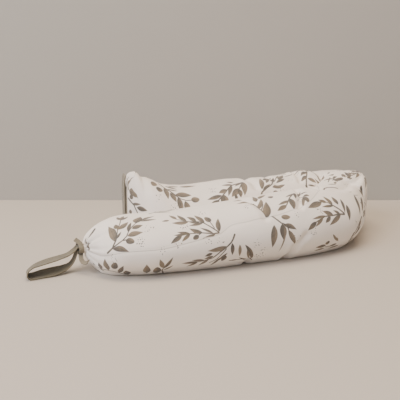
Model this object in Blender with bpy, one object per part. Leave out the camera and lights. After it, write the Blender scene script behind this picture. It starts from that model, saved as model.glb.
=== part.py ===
"""A stuffed cotton draught excluder, folded back on itself, with a tape loop at each end.

Metres, +Z up, standing on z = 0. X runs along the two legs of the folded tube and Y from the near
leg to the far one. The near leg's left end is gathered and tied, the far leg's end is sewn flat.
"""

import math
from typing import NamedTuple

import bmesh
import bpy
import numpy as np
from mathutils import Matrix

# Driving dimensions
CLOTH_GIRTH = 0.330  # round the stuffed tube
ROUND_STEPS = 32  # points round one section
GAP = 0.0003  # between pieces that touch
HEADING_STEP = 0.002  # along the axis, over which its heading is read
AXIS_SAMPLES = 2000  # over which the axis is measured
ROUTE_FINENESS = 40  # samples measured for each ring of a tape
SHARP_ANGLE = math.radians(50)  # edges bent more than this stay sharp
TAPE_THICK = 0.0018
TAPE_WIDE = 0.021
TIE_THICK = 0.0016
TIE_WIDE = 0.007

# The gathered end
NECK_HALF = 0.0088  # half the neck's width
NECK_LOW = 0.0275
NECK_TOP = 0.0400
NECK_LENGTH = 0.005
DOME_LENGTH = 0.068  # from the neck to the full section
DOME_POWER = 0.60  # 0.5 would be a ball's quarter, 1 a softer cone
KEEL_LENGTH = 0.042  # from the neck to where the underside rests
PLEATS = 9
PLEAT_SHARE = 0.16  # of the radius, at the neck
PLEAT_REACH = 0.016
# Where the dome's sections lie, as shares of its length
DOME_RINGS = (0.01, 0.04, 0.1, 0.2, 0.33, 0.5, 0.7, 0.9)

# The stretch of the axis that holds the creases, and how many sections lie before, in and after it
CREASED_START = 0.225
CREASED_END = 0.685
NEAR_SECTIONS = 16
CREASED_SECTIONS = 66
FAR_SECTIONS = 13

# The flat-sewn end
FLAT_LENGTH = 0.060  # over which the tube flattens on to its seam
FLAT_POWER = 1.7  # 1 would be blunt, more is a sharper edge
SEAM_HALF = 0.0013
EAR_LEAN = 0.0030  # how far the seam's corner reaches out past the seam
EAR_FOOT = 0.090  # height at which it starts to reach out
EAR_STEP = 0.012
EAR_REACH = 0.010
EAR_BLEND = 1.5 * SEAM_HALF  # across the section, over which the lean fades in
# How far from the seam its sections lie
SEAM_RINGS = (
    0.0560,
    0.0480,
    0.0410,
    0.0350,
    0.0300,
    0.0255,
    0.0220,
    0.0190,
    0.0160,
    0.0130,
    0.0105,
    0.0080,
    0.0060,
    0.0040,
    0.0022,
    0.0010,
    0.0003,
    0.0000,
)
# The seam's raised corner, as distance from the seam and rise above the free tube
EAR = (
    (0.0000, 0.0160),
    (0.0025, 0.0235),
    (0.0060, 0.0262),
    (0.0115, 0.0268),
    (0.0150, 0.0254),
    (0.0180, 0.0222),
    (0.0205, 0.0186),
    (0.0240, 0.0172),
    (0.0300, 0.0166),
    (0.0400, 0.0120),
    (0.0480, 0.0074),
    (0.0560, 0.0036),
    (0.0700, 0.0010),
    (0.0900, 0.0000),
)


class Station(NamedTuple):
    """A place on the tube's axis, with the section there."""

    x: float
    y: float
    top: float  # highest point
    low: float  # where the underside would reach if the table did not flatten it
    inner: float  # half width towards the inside of the hairpin, as a share of the free one
    square: float  # exponent of the section's inner side, 2 for an ellipse
    brow: float  # exponent of its outer side above the middle


STATIONS = (
    Station(-0.2040, -0.0350, 0.0770, -0.0040, 1.00, 2.0, 2.0),
    Station(-0.1900, -0.0360, 0.0770, -0.0040, 1.00, 2.0, 2.0),
    Station(-0.1600, -0.0440, 0.0775, -0.0042, 1.00, 2.0, 2.0),
    Station(-0.1150, -0.0600, 0.0785, -0.0045, 1.00, 2.0, 2.0),
    Station(-0.0600, -0.0710, 0.0815, -0.0045, 1.00, 2.1, 2.0),
    Station(0.0000, -0.0780, 0.0860, -0.0045, 1.00, 2.2, 2.0),
    Station(0.0500, -0.0830, 0.0900, -0.0045, 0.98, 2.5, 2.0),
    Station(0.1000, -0.0860, 0.0925, -0.0045, 0.96, 3.0, 2.0),
    Station(0.1500, -0.0840, 0.0930, -0.0045, 0.92, 3.0, 2.0),
    Station(0.1850, -0.0745, 0.0915, -0.0045, 0.86, 2.8, 2.0),
    Station(0.2060, -0.0545, 0.0910, -0.0040, 0.74, 2.4, 2.2),
    Station(0.2280, -0.0245, 0.0930, -0.0025, 0.60, 2.0, 2.6),
    Station(0.2525, 0.0040, 0.0985, -0.0025, 0.50, 2.0, 5.5),
    Station(0.2455, 0.0265, 0.0920, -0.0035, 0.56, 2.2, 3.2),
    Station(0.2120, 0.0340, 0.0960, -0.0045, 0.84, 2.6, 2.0),
    Station(0.1600, 0.0330, 0.0920, -0.0045, 0.92, 3.0, 2.0),
    Station(0.1100, 0.0320, 0.0920, -0.0045, 0.96, 3.0, 2.0),
    Station(0.0600, 0.0330, 0.0950, -0.0045, 0.98, 2.5, 2.0),
    Station(0.0100, 0.0350, 0.0915, -0.0045, 1.00, 2.2, 2.0),
    Station(-0.0500, 0.0390, 0.0930, -0.0045, 1.00, 2.0, 2.0),
    Station(-0.1040, 0.0440, 0.0940, -0.0045, 1.00, 2.0, 2.0),
)


class Fold(NamedTuple):
    """A soft trough pressed into the cloth, from one place on the tube to another."""

    along: float  # metres along the axis from the neck
    round: float  # degrees round the section, 0 outer side, 90 top, 180 inner side
    along_end: float
    round_end: float
    depth: float
    reach: float  # half width of the trough


FOLDS = (
    # the crease that runs over the bend's shoulder to its outer corner
    Fold(0.384, 99, 0.398, 80, 0.0040, 0.0090),
    Fold(0.398, 80, 0.427, 68, 0.0045, 0.0090),
    Fold(0.427, 68, 0.480, 58, 0.0042, 0.0090),
    # the pleat across the near leg, and its other half across the far leg
    Fold(0.352, 112, 0.316, 50, 0.0050, 0.0055),
    Fold(0.571, 70, 0.592, 125, 0.0050, 0.0055),
    # the pinch low on the near leg's front, and the tuck beside it
    Fold(0.294, 298, 0.303, 340, 0.0045, 0.0060),
    Fold(0.303, 340, 0.317, 358, 0.0030, 0.0060),
    Fold(0.234, 285, 0.234, 320, 0.0035, 0.0060),
    # where the near leg dives under the bend's shoulder
    Fold(0.246, 100, 0.259, 60, 0.0040, 0.0060),
    Fold(0.259, 60, 0.259, 38, 0.0025, 0.0060),
    # waves across the far leg's top
    Fold(0.668, 55, 0.674, 125, 0.0040, 0.0080),
    Fold(0.628, 60, 0.634, 120, 0.0025, 0.0070),
    Fold(0.540, 65, 0.536, 120, 0.0035, 0.0080),
    Fold(0.510, 60, 0.504, 110, 0.0030, 0.0070),
)


def hermite(rows: np.ndarray, knots: np.ndarray, at: np.ndarray) -> np.ndarray:
    """Values of a smooth curve through the rows, whose knots rise."""
    slopes = np.gradient(rows, knots, axis=0)
    index = np.clip(np.searchsorted(knots, at, side="right") - 1, 0, len(knots) - 2)
    span = (knots[index + 1] - knots[index])[:, None]
    t = ((at - knots[index]) / span[:, 0])[:, None]
    start, end = rows[index], rows[index + 1]
    return (
        start * (1 + 2 * t) * (1 - t) ** 2
        + span * slopes[index] * t * (1 - t) ** 2
        + end * t * t * (3 - 2 * t)
        + span * slopes[index + 1] * t * t * (t - 1)
    )


def quarter_round(t: np.ndarray) -> np.ndarray:
    """Rises from 0 to 1 over 0 to 1 as a quarter of a circle does, and stays there."""
    return np.sqrt(1 - (1 - np.clip(t, 0, 1)) ** 2)


def bump(distance: np.ndarray, reach: float) -> np.ndarray:
    """1 at no distance, falling softly to 0."""
    return np.exp(-((distance / reach) ** 2))


def axis_length() -> tuple[np.ndarray, np.ndarray]:
    """The stations as rows, and the length along the axis at which each lies."""
    rows = np.array(STATIONS)
    knots = np.arange(len(rows), dtype=float)
    fine = np.linspace(0, knots[-1], AXIS_SAMPLES)
    steps = np.linalg.norm(np.diff(hermite(rows[:, :2], knots, fine), axis=0), axis=1)
    lengths = np.concatenate([[0], np.cumsum(steps)])
    return rows, np.interp(knots, fine, lengths)


def ring_places(length: float) -> np.ndarray:
    """Lengths along the axis of the sections: close at the two ends, wider between."""
    neck = np.array([0, NECK_LENGTH])
    dome = NECK_LENGTH + DOME_LENGTH * np.array(DOME_RINGS)
    end = length - np.array(SEAM_RINGS)
    near = np.linspace(dome[-1], CREASED_START, NEAR_SECTIONS)[1:]
    creased = np.linspace(CREASED_START, CREASED_END, CREASED_SECTIONS)[1:]
    far = np.linspace(CREASED_END, end[0], FAR_SECTIONS)[1:-1]
    return np.concatenate([neck, dome, near, creased, far, end])


def tube_rings() -> np.ndarray:
    """The tube's surface as rings of points, from the neck to the flat seam."""
    rows, knots = axis_length()
    length = knots[-1]
    along = ring_places(length)
    values = hermite(rows, knots, along)
    ahead = hermite(rows, knots, np.minimum(along + HEADING_STEP, length))[:, :2]
    behind = hermite(rows, knots, np.maximum(along - HEADING_STEP, 0))[:, :2]
    heading = ahead - behind
    heading /= np.linalg.norm(heading, axis=1)[:, None]
    outward = np.column_stack([heading[:, 1], -heading[:, 0]])

    from_end = length - along
    dome = quarter_round((along - NECK_LENGTH) / DOME_LENGTH) ** (2 * DOME_POWER)
    keel = quarter_round((along - NECK_LENGTH) / KEEL_LENGTH)
    flat = quarter_round(from_end / FLAT_LENGTH) ** FLAT_POWER
    rises = np.array(EAR)
    ear = np.interp(from_end, rises[:, 0], rises[:, 1])
    lean = EAR_LEAN * bump(from_end, EAR_REACH)
    top = NECK_TOP + (values[:, 2] - NECK_TOP) * dome + ear
    low = NECK_LOW + (values[:, 3] - NECK_LOW) * keel
    free_half = CLOTH_GIRTH / math.pi - (values[:, 2] - values[:, 3]) / 2
    half = NECK_HALF + (free_half - NECK_HALF) * dome
    half = SEAM_HALF + (half - SEAM_HALF) * flat
    inner_half = half * values[:, 4]

    angle = np.arange(ROUND_STEPS) * math.tau / ROUND_STEPS
    cos, sin = np.cos(angle), np.sin(angle)
    rings = np.empty((len(along), ROUND_STEPS, 3))
    for i in range(len(along)):
        power = np.where(cos < 0, 2 / values[i, 5], np.where(sin > 0, 2 / values[i, 6], 1.0))
        side = np.sign(cos) * np.abs(cos) ** power
        rise = np.sign(sin) * np.abs(sin) ** power
        pleat = 1 + PLEAT_SHARE * bump(along[i] - NECK_LENGTH * 2, PLEAT_REACH) * np.cos(PLEATS * angle)
        pleat = np.where(along[i] <= NECK_LENGTH, 1, pleat)
        spread = np.where(cos < 0, inner_half[i], half[i])
        across = spread * side * pleat
        middle = (top[i] + low[i]) / 2
        height = middle + (top[i] - low[i]) / 2 * rise * pleat
        normal = np.column_stack([cos / max(half[i], 1e-4), sin / ((top[i] - low[i]) / 2)])
        normal /= np.linalg.norm(normal, axis=1)[:, None]
        sunk = fold_depth(along[i], np.degrees(angle))
        across = across - sunk * normal[:, 0]
        height = height - sunk * normal[:, 1]
        nearness = np.clip((SEAM_HALF - across) / EAR_BLEND, 0, 1)
        reach = lean[i] * nearness * np.clip((height - EAR_FOOT) / EAR_STEP, 0, 1)
        rings[i, :, :2] = values[i, :2] + across[:, None] * outward[i] + reach[:, None] * heading[i]
        rings[i, :, 2] = np.maximum(height, 0)
    return rings


def fold_depth(along: float, degrees: np.ndarray) -> np.ndarray:
    """How far the folds press the cloth in, at one length along the axis."""
    metres = CLOTH_GIRTH / 360
    depth = np.zeros(len(degrees))
    for fold in FOLDS:
        start = np.array([fold.along, fold.round * metres])
        end = np.array([fold.along_end, fold.round_end * metres])
        line = end - start
        here = np.column_stack([np.full(len(degrees), along), degrees * metres])
        share = np.clip((here - start) @ line / (line @ line), 0, 1)
        away = np.linalg.norm(here - start - share[:, None] * line, axis=1)
        depth = np.maximum(depth, fold.depth * bump(away, fold.reach))
    return depth


def skin(
    name: str, rings: np.ndarray, material: bpy.types.Material, closed: bool = False
) -> bpy.types.Object:
    """A solid through the rings, which either meet their start again or end in flat caps."""
    shape = bmesh.new()
    loops = [[shape.verts.new(point) for point in ring] for ring in rings]
    following = loops[1:] + loops[:1] if closed else loops[1:]
    for loop, after in zip(loops, following):
        for j in range(len(loop)):
            k = (j + 1) % len(loop)
            shape.faces.new((loop[j], loop[k], after[k], after[j]))
    if not closed:
        shape.faces.new(loops[0][::-1])
        shape.faces.new(loops[-1])
    bmesh.ops.recalc_face_normals(shape, faces=shape.faces)
    mesh = bpy.data.meshes.new(name)
    shape.to_mesh(mesh)
    shape.free()
    mesh.shade_smooth()
    mesh.set_sharp_from_angle(angle=SHARP_ANGLE)
    mesh.materials.append(material)
    piece = bpy.data.objects.new(name, mesh)
    bpy.context.scene.collection.objects.link(piece)
    return piece


def join(piece: bpy.types.Object, other: bpy.types.Object) -> None:
    """Makes the other shape part of this piece, and keeps it only as a hidden helper."""
    union = piece.modifiers.new("join_" + other.name, "BOOLEAN")
    union.operation = "UNION"
    union.solver = "EXACT"
    union.object = other
    other.hide_render = True
    other.display_type = "WIRE"


def ribbon_rings(route: np.ndarray, across: np.ndarray, widths: np.ndarray, thick: float) -> np.ndarray:
    """Four-cornered rings along a strip of tape whose width lies along the across vectors."""
    heading = np.gradient(route, axis=0)
    heading /= np.linalg.norm(heading, axis=1)[:, None]
    across = across - (across * heading).sum(axis=1)[:, None] * heading
    across /= np.linalg.norm(across, axis=1)[:, None]
    lift = np.cross(heading, across) * thick / 2
    half = across * (widths / 2)[:, None]
    corners = (route - half - lift, route + half - lift, route + half + lift, route - half + lift)
    return np.stack(corners, axis=1)


def smooth_route(points: tuple, steps: int) -> np.ndarray:
    """A smooth curve through the points, as evenly spaced rows."""
    rows = np.array(points, dtype=float)
    knots = np.concatenate([[0], np.cumsum(np.linalg.norm(np.diff(rows, axis=0), axis=1))])
    fine = hermite(rows, knots, np.linspace(0, knots[-1], ROUTE_FINENESS * steps))
    lengths = np.concatenate([[0], np.cumsum(np.linalg.norm(np.diff(fine, axis=0), axis=1))])
    even = np.linspace(0, lengths[-1], steps)
    return np.column_stack([np.interp(even, lengths, fine[:, i]) for i in range(rows.shape[1])])


# The hanging loop: out along its upper strand, round the far fold and back along the lower one
LOOP_TURN = math.radians(3)  # away from the X axis, towards the near side
LOOP_SKEW = math.radians(13)  # of the fold, whose far edge stays nearer the tie
# Rows are distance from the neck, height of the tape's middle, far edge's rise over the near one
LOOP_SIDE = (
    (0.0014, 0.0366, 0.0000),
    (0.0060, 0.0362, 0.0000),
    (0.0100, 0.0330, 0.0008),
    (0.0180, 0.0280, 0.0000),
    (0.0340, 0.0242, 0.0000),
    (0.0510, 0.0214, 0.0004),
    (0.0640, 0.0186, -0.0006),
    (0.0740, 0.0150, -0.0028),
    (0.0793, 0.0104, -0.0022),
    (0.0804, 0.0068, 0.0000),
    (0.0780, 0.0034, 0.0020),
    (0.0710, 0.0027, 0.0031),
    (0.0590, 0.0036, 0.0049),
    (0.0430, 0.0050, 0.0055),
    (0.0265, 0.0082, 0.0045),
    (0.0172, 0.0122, 0.0015),
    (0.0118, 0.0185, 0.0000),
    (0.0086, 0.0258, 0.0000),
    (0.0064, 0.0298, 0.0000),
    (0.0014, 0.0313, 0.0000),
)
LOOP_STEPS = 76
LOOP_TUCK = 0.0115  # the tape's width where it is bunched under the tie
LOOP_SPREAD_START = 0.009
LOOP_SPREAD_END = 0.040  # where it has opened to its full width


def loop_rings() -> np.ndarray:
    """The wide tape's rings, out from the tie, round and back."""
    side = smooth_route(LOOP_SIDE, LOOP_STEPS)
    direction = np.array([-math.cos(LOOP_TURN), -math.sin(LOOP_TURN), 0])
    neck = np.array([STATIONS[0].x, STATIONS[0].y, 0])
    route = neck + side[:, :1] * direction + side[:, 1:2] * np.array([0, 0, 1])
    squarely = np.array([direction[1], -direction[0], 0])
    spread = np.interp(side[:, 0], [LOOP_SPREAD_START, LOOP_SPREAD_END], [0, 1])
    across = squarely - direction * math.tan(LOOP_SKEW) * spread[:, None]
    lifted = across + side[:, 2:] / TAPE_WIDE * np.array([0, 0, 1])
    widths = LOOP_TUCK + (TAPE_WIDE - LOOP_TUCK) * spread
    return ribbon_rings(route, lifted, widths, TAPE_THICK)


# The loop at the flat end, as distance out from the seam and height of the tape's middle: down
# the outer layer from the seam's corner, round the fold at the bottom and up the inner layer
FAR_SIDE = (
    (0.0015, 0.1140),
    (0.0029, 0.1095),
    (0.0037, 0.1010),
    (0.0038, 0.0700),
    (0.0038, 0.0400),
    (0.0038, 0.0290),
    (0.0037, 0.0250),
    (0.0027, 0.0230),
    (0.0017, 0.0250),
    (0.0016, 0.0290),
    (0.0015, 0.0400),
    (0.0015, 0.0700),
    (0.0015, 0.1000),
)
FAR_STEPS = 66
FAR_TURN = math.radians(8)  # how far its far edge swings towards the tube
FAR_SIDE_STEP = 0.0018  # from the seam's middle to the tape's near edge


def far_rings() -> np.ndarray:
    """The rings of the tape that hangs down the flat end, just behind the seam's corner."""
    side = smooth_route(FAR_SIDE, FAR_STEPS)
    width = np.array([math.sin(FAR_TURN), math.cos(FAR_TURN), 0])
    out = np.array([-width[1], width[0], 0])
    seam = np.array([STATIONS[-1].x, STATIONS[-1].y, 0])
    start = seam + width * (FAR_SIDE_STEP + TAPE_WIDE / 2)
    route = start + side[:, :1] * out + side[:, 1:] * np.array([0, 0, 1])
    across = np.tile(width, (len(route), 1))
    return ribbon_rings(route, across, np.full(len(route), TAPE_WIDE), TAPE_THICK)


# The tie's free ends, as distances from the middle of the band
STUB = (
    (0.0000, -0.0072, 0.0050),
    (-0.0008, -0.0035, 0.0082),
    (-0.0032, 0.0000, 0.0106),
    (-0.0062, 0.0030, 0.0130),
)
STUB_ACROSS = (0.78, 0.25, 0.45)
CURL = (
    (0.0000, 0.0010, -0.0073),
    (-0.0004, -0.0045, -0.0080),
    (-0.0016, -0.0095, -0.0108),
    (-0.0021, -0.0133, -0.0133),
    (-0.0013, -0.0170, -0.0157),
    (0.0008, -0.0210, -0.0163),
    (0.0038, -0.0240, -0.0143),
    (0.0047, -0.0250, -0.0119),
)
CURL_ACROSS = (0.62, 0.40, 0.68)
BAND_STEPS = 36
STUB_STEPS = 20
CURL_STEPS = 40
END_NARROWER = 0.0004  # so that no side of a free end lies in the band's own side


def tie_middle() -> np.ndarray:
    """The middle of the band round the neck."""
    neck = STATIONS[0]
    return np.array([neck.x - TIE_WIDE / 4, neck.y, (NECK_LOW + NECK_TOP) / 2])


def band_rings() -> np.ndarray:
    """The band round the neck, as four-cornered rings that close on themselves."""
    half_wide = NECK_HALF + GAP
    half_high = (NECK_TOP - NECK_LOW) / 2 + GAP
    rings = []
    for step in range(BAND_STEPS):
        angle = math.tau * step / BAND_STEPS
        corners = []
        for outset, side in ((0, -1), (TIE_THICK, -1), (TIE_THICK, 1), (0, 1)):
            across = (half_wide + outset) * math.cos(angle)
            height = (half_high + outset) * math.sin(angle)
            corners.append([side * TIE_WIDE / 2, across, height])
        rings.append(corners)
    return np.array(rings) + tie_middle()


def free_end_rings(points: tuple, steps: int, last_across: tuple) -> np.ndarray:
    """The rings of one free end of the tie, whose width starts along the band's own."""
    route = smooth_route(points, steps) + tie_middle()
    share = np.linspace(0, 1, len(route))[:, None]
    across = (1 - share) * np.array([1, 0, 0]) + share * np.array(last_across)
    return ribbon_rings(route, across, np.full(len(route), TIE_WIDE - END_NARROWER), TIE_THICK)


def clear_scene() -> None:
    """Removes whatever the file holds."""
    for item in list(bpy.data.objects):
        bpy.data.objects.remove(item, do_unlink=True)


def finish(name: str, colour: tuple, roughness: float) -> bpy.types.Material:
    """A plain finish for one piece."""
    material = bpy.data.materials.new(name)
    material.use_nodes = True
    shader = material.node_tree.nodes["Principled BSDF"]
    shader.inputs["Base Color"].default_value = (*colour, 1)
    shader.inputs["Roughness"].default_value = roughness
    shader.inputs["Metallic"].default_value = 0.0
    return material


def centre(pieces: list[bpy.types.Object]) -> None:
    """Moves the shapes so that the box round them all is centred on the origin in X and Y."""
    points = np.array([vertex.co for piece in pieces for vertex in piece.data.vertices])
    middle = (points.min(axis=0) + points.max(axis=0)) / 2
    for piece in pieces:
        piece.data.transform(Matrix.Translation((-middle[0], -middle[1], 0)))


def main() -> None:
    """Builds every piece."""
    clear_scene()
    cotton = finish("printed_cotton", (0.80, 0.78, 0.74), 0.9)
    loop_tape = finish("loop_tape", (0.33, 0.30, 0.23), 0.88)
    tie_tape = finish("tie_tape", (0.33, 0.30, 0.23), 0.88)
    far_tape = finish("far_tape", (0.28, 0.25, 0.18), 0.88)
    cushion = skin("tube_cushion", tube_rings(), cotton)
    loop = skin("hanging_loop", loop_rings(), loop_tape)
    far_loop = skin("far_loop", far_rings(), far_tape)
    tie = skin("end_tie", band_rings(), tie_tape, closed=True)
    stub = skin("stub", free_end_rings(STUB, STUB_STEPS, STUB_ACROSS), tie_tape)
    curl = skin("curl", free_end_rings(CURL, CURL_STEPS, CURL_ACROSS), tie_tape)
    centre([cushion, loop, far_loop, tie, stub, curl])
    join(tie, stub)
    join(tie, curl)


main()
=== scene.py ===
"""Looks of a stuffed cotton draught excluder with a leaf print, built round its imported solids.

The tube lies folded back on itself: a near leg, a bend at the right and a far leg. Its near end is
gathered and tied, with a hanging loop of tape; its far end is sewn flat, with a second loop. Metres,
+Z up. Places on the tube are given as metres along its middle from the tie, and as degrees round its
section: 0 is the outer side of the hairpin, 90 the top, 180 the inner side and 270 the underside.
"""

import logging
import math
from dataclasses import dataclass, field
from enum import Enum
from typing import NamedTuple

import bpy
import numpy as np
from bpy.types import Material, Mesh, Node, NodeSocket, NodeTree, Object
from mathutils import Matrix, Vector, noise


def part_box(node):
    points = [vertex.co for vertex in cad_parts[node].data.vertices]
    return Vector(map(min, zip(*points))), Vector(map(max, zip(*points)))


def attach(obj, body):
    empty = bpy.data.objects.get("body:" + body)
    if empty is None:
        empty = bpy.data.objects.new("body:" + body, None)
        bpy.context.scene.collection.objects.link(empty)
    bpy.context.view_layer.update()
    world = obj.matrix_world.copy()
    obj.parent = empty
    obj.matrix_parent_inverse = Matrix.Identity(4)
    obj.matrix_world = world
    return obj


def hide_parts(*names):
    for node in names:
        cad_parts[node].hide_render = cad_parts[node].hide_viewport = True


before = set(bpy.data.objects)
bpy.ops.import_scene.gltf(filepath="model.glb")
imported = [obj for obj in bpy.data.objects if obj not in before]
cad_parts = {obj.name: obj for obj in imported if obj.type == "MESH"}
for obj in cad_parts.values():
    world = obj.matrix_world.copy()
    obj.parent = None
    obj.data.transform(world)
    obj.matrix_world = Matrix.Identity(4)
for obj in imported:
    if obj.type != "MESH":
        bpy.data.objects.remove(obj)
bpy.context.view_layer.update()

LOG = logging.getLogger("draught_excluder")
MM = 0.001
UP = np.array([0.0, 0.0, 1.0])
NOWHERE = 999.0  # mm, farther off than any mark reaches


# ---- Small tools ----------------------------------------------------------------------------


def linear(hex_colour: str) -> tuple[float, float, float, float]:
    """Turns an sRGB hex value into the linear colour that Blender's sockets take.

    Args:
        hex_colour: six hex digits.

    Returns:
        Red, green, blue and an alpha of 1.
    """
    parts = [int(hex_colour[i : i + 2], 16) / 255 for i in (0, 2, 4)]
    curve = [c / 12.92 if c <= 0.04045 else ((c + 0.055) / 1.055) ** 2.4 for c in parts]
    return (*curve, 1.0)


def add_node(tree: NodeTree, kind: str, inputs: dict | None = None, **settings) -> Node:
    """Adds one node, sets it up and feeds its sockets.

    Args:
        tree: the node tree that takes the node.
        kind: the node's type name.
        inputs: for each socket's name or number, its constant or what feeds it.
        **settings: the node's own properties.

    Returns:
        The new node.
    """
    made = tree.nodes.new(kind)
    for name, value in settings.items():
        setattr(made, name, value)
    for key, value in (inputs or {}).items():
        if isinstance(value, Value):
            value = value.socket
        if isinstance(value, NodeSocket):
            tree.links.new(value, made.inputs[key])
        else:
            made.inputs[key].default_value = value
    return made


class Value:
    """A number inside a shader. Each sum with it adds one Math node to its tree."""

    def __init__(self, socket: NodeSocket) -> None:
        """Takes the socket that gives the number."""
        self.socket = socket

    def math(self, operation: str, *operands: "Value | float") -> "Value":
        """Feeds the number, and any more operands, to a new Math node and gives the result."""
        feeds = dict(enumerate((self, *operands)))
        tree = self.socket.id_data
        return Value(add_node(tree, "ShaderNodeMath", feeds, operation=operation).outputs[0])

    def __add__(self, other: "Value | float") -> "Value":
        """The sum of both."""
        return self.math("ADD", other)

    def __sub__(self, other: "Value | float") -> "Value":
        """This less the other."""
        return self.math("SUBTRACT", other)

    def __mul__(self, other: "Value | float") -> "Value":
        """The product of both."""
        return self.math("MULTIPLY", other)

    def clamp(self, low: float, high: float) -> "Value":
        """The number, kept between two bounds."""
        return self.math("MAXIMUM", low).math("MINIMUM", high)


def three_parts(tree: NodeTree, vector: NodeSocket) -> list[Value]:
    """The three numbers of a vector socket."""
    return [Value(out) for out in add_node(tree, "ShaderNodeSeparateXYZ", {0: vector}).outputs]


class Look:
    """A material being written, with short ways to the nodes that the finishes share."""

    def __init__(self, name: str, **constants) -> None:
        """Makes the material, with constants by socket name on the shader, with _ for a space."""
        self.material = bpy.data.materials.new(name)
        self.material.use_nodes = True
        self.tree = self.material.node_tree
        self.shader = self.tree.nodes["Principled BSDF"]
        for socket, value in constants.items():
            key = socket.replace("_", " ").title().replace("Ior", "IOR")
            self.shader.inputs[key].default_value = value

    def attribute(self, name: str, output: str = "Fac") -> NodeSocket:
        """One of the mesh's own attributes."""
        return add_node(self.tree, "ShaderNodeAttribute", attribute_name=name).outputs[output]

    def noise(self, place: NodeSocket, scale: float, detail: float) -> Value:
        """Cloudy noise from 0 to 1."""
        feeds = {"Vector": place, "Scale": scale, "Detail": detail}
        return Value(add_node(self.tree, "ShaderNodeTexNoise", feeds).outputs["Fac"])

    def ramp(self, tone: Value, *stops: tuple[float, str]) -> NodeSocket:
        """Colours read from a tone, between stops of a place and a hex colour."""
        made = add_node(self.tree, "ShaderNodeValToRGB", {"Fac": tone})
        row = made.color_ramp.elements
        for i, (place, colour) in enumerate(stops):
            stop = row[i] if i < len(row) else row.new(place)
            stop.position, stop.color = place, linear(colour)
        return made.outputs["Color"]

    def mix(self, share: Value, first: object, second: object) -> NodeSocket:
        """Two colours mixed, each a socket or a linear colour."""
        feeds = {"Factor": share, "A": first, "B": second}
        return add_node(self.tree, "ShaderNodeMix", feeds, data_type="RGBA").outputs["Result"]

    def dress(self, colour: NodeSocket, height: Value, share: float, deep: float) -> None:
        """Feeds the shader its colour and a relief of some share of its depth, in mm."""
        feeds = {"Height": height, "Strength": share, "Distance": deep * MM}
        relief = add_node(self.tree, "ShaderNodeBump", feeds)
        self.tree.links.new(colour, self.shader.inputs["Base Color"])
        self.tree.links.new(relief.outputs[0], self.shader.inputs["Normal"])


def hermite(rows: np.ndarray, knots: np.ndarray, at: np.ndarray) -> np.ndarray:
    """Reads a smooth curve through rows of values.

    Args:
        rows: the values at the knots, one row each.
        knots: rising places of the rows.
        at: the places to read.

    Returns:
        One row of values for each place read.
    """
    slopes = np.gradient(rows, knots, axis=0)
    index = np.clip(np.searchsorted(knots, at, side="right") - 1, 0, len(knots) - 2)
    span = (knots[index + 1] - knots[index])[:, None]
    t = ((at - knots[index]) / span[:, 0])[:, None]
    return (
        rows[index] * (1 + 2 * t) * (1 - t) ** 2
        + span * slopes[index] * t * (1 - t) ** 2
        + rows[index + 1] * t * t * (3 - 2 * t)
        + span * slopes[index + 1] * t * t * (t - 1)
    )


def travelled(points: np.ndarray) -> np.ndarray:
    """How far it is to each point from the first, step by step along the first axis."""
    steps = np.linalg.norm(np.diff(points, axis=0), axis=-1)
    return np.concatenate([np.zeros_like(steps[:1]), np.cumsum(steps, axis=0)])


def even_route(points: tuple, steps: int) -> np.ndarray:
    """A smooth curve through given points, as evenly spaced rows.

    Args:
        points: the rows that the curve passes through.
        steps: how many rows to give back.

    Returns:
        The rows, evenly spaced along the curve.
    """
    rows = np.array(points, dtype=float)
    knots = travelled(rows)
    fine = hermite(rows, knots, np.linspace(0, knots[-1], 40 * steps))
    lengths = travelled(fine)
    even = np.linspace(0, lengths[-1], steps)
    return np.column_stack([np.interp(even, lengths, column) for column in fine.T])


def unit(rows: np.ndarray) -> np.ndarray:
    """The same directions with a length of 1."""
    return rows / np.linalg.norm(rows, axis=-1, keepdims=True)


def bump(distance: np.ndarray, reach: float) -> np.ndarray:
    """1 at no distance, falling softly to 0 past the reach."""
    return np.exp(-((distance / reach) ** 2))


def quarter_round(t: np.ndarray) -> np.ndarray:
    """Rises from 0 to 1 over 0 to 1 as a quarter of a circle does, and stays there."""
    return np.sqrt(1 - (1 - np.clip(t, 0, 1)) ** 2)


def corners(grid: np.ndarray) -> np.ndarray:
    """A grid's values at the four corners of each of its faces."""
    return np.stack([grid[:-1, :-1], grid[:-1, 1:], grid[1:, 1:], grid[1:, :-1]], axis=-1)


def close_up(grid: np.ndarray, axis: int) -> np.ndarray:
    """A grid that ends with its own first row or column once more."""
    return np.concatenate([grid, grid.take([0], axis=axis)], axis=axis)


def store(mesh: Mesh, name: str, values: np.ndarray, rest: float) -> None:
    """Stores numbers on a mesh's points, or vectors on its faces' corners.

    Args:
        mesh: the mesh.
        name: the attribute's name.
        values: one number for each of the first points, or three for each of the first corners.
        rest: what the points or corners after them get.
    """
    vectors = values.shape[-1] == 3
    kind = ("FLOAT_VECTOR", "CORNER") if vectors else ("FLOAT", "POINT")
    made = mesh.attributes.new(name, *kind)
    filled = np.full(len(made.data) * (3 if vectors else 1), rest, dtype=np.float32)
    filled[: values.size] = values.ravel()
    made.data.foreach_set("vector" if vectors else "value", filled)


def map_faces(mesh: Mesh, name: str, places: np.ndarray) -> None:
    """Gives a mesh a UV map, with a place in metres for each corner."""
    mesh.uv_layers.new(name=name).data.foreach_set("uv", places.astype(np.float32).ravel())


def new_piece(name: str, points: np.ndarray, faces: list, material: Material) -> Object:
    """Makes a smooth-shaded mesh object at the origin.

    Args:
        name: the piece's name.
        points: its vertices, in rows of three.
        faces: its faces, as tuples of vertex numbers.
        material: its finish.

    Returns:
        The new object, linked to the scene.
    """
    mesh = bpy.data.meshes.new(name)
    mesh.from_pydata(points.tolist(), [], faces)
    mesh.validate()
    mesh.shade_smooth()
    mesh.materials.append(material)
    piece = bpy.data.objects.new(name, mesh)
    bpy.context.scene.collection.objects.link(piece)
    return piece


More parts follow.
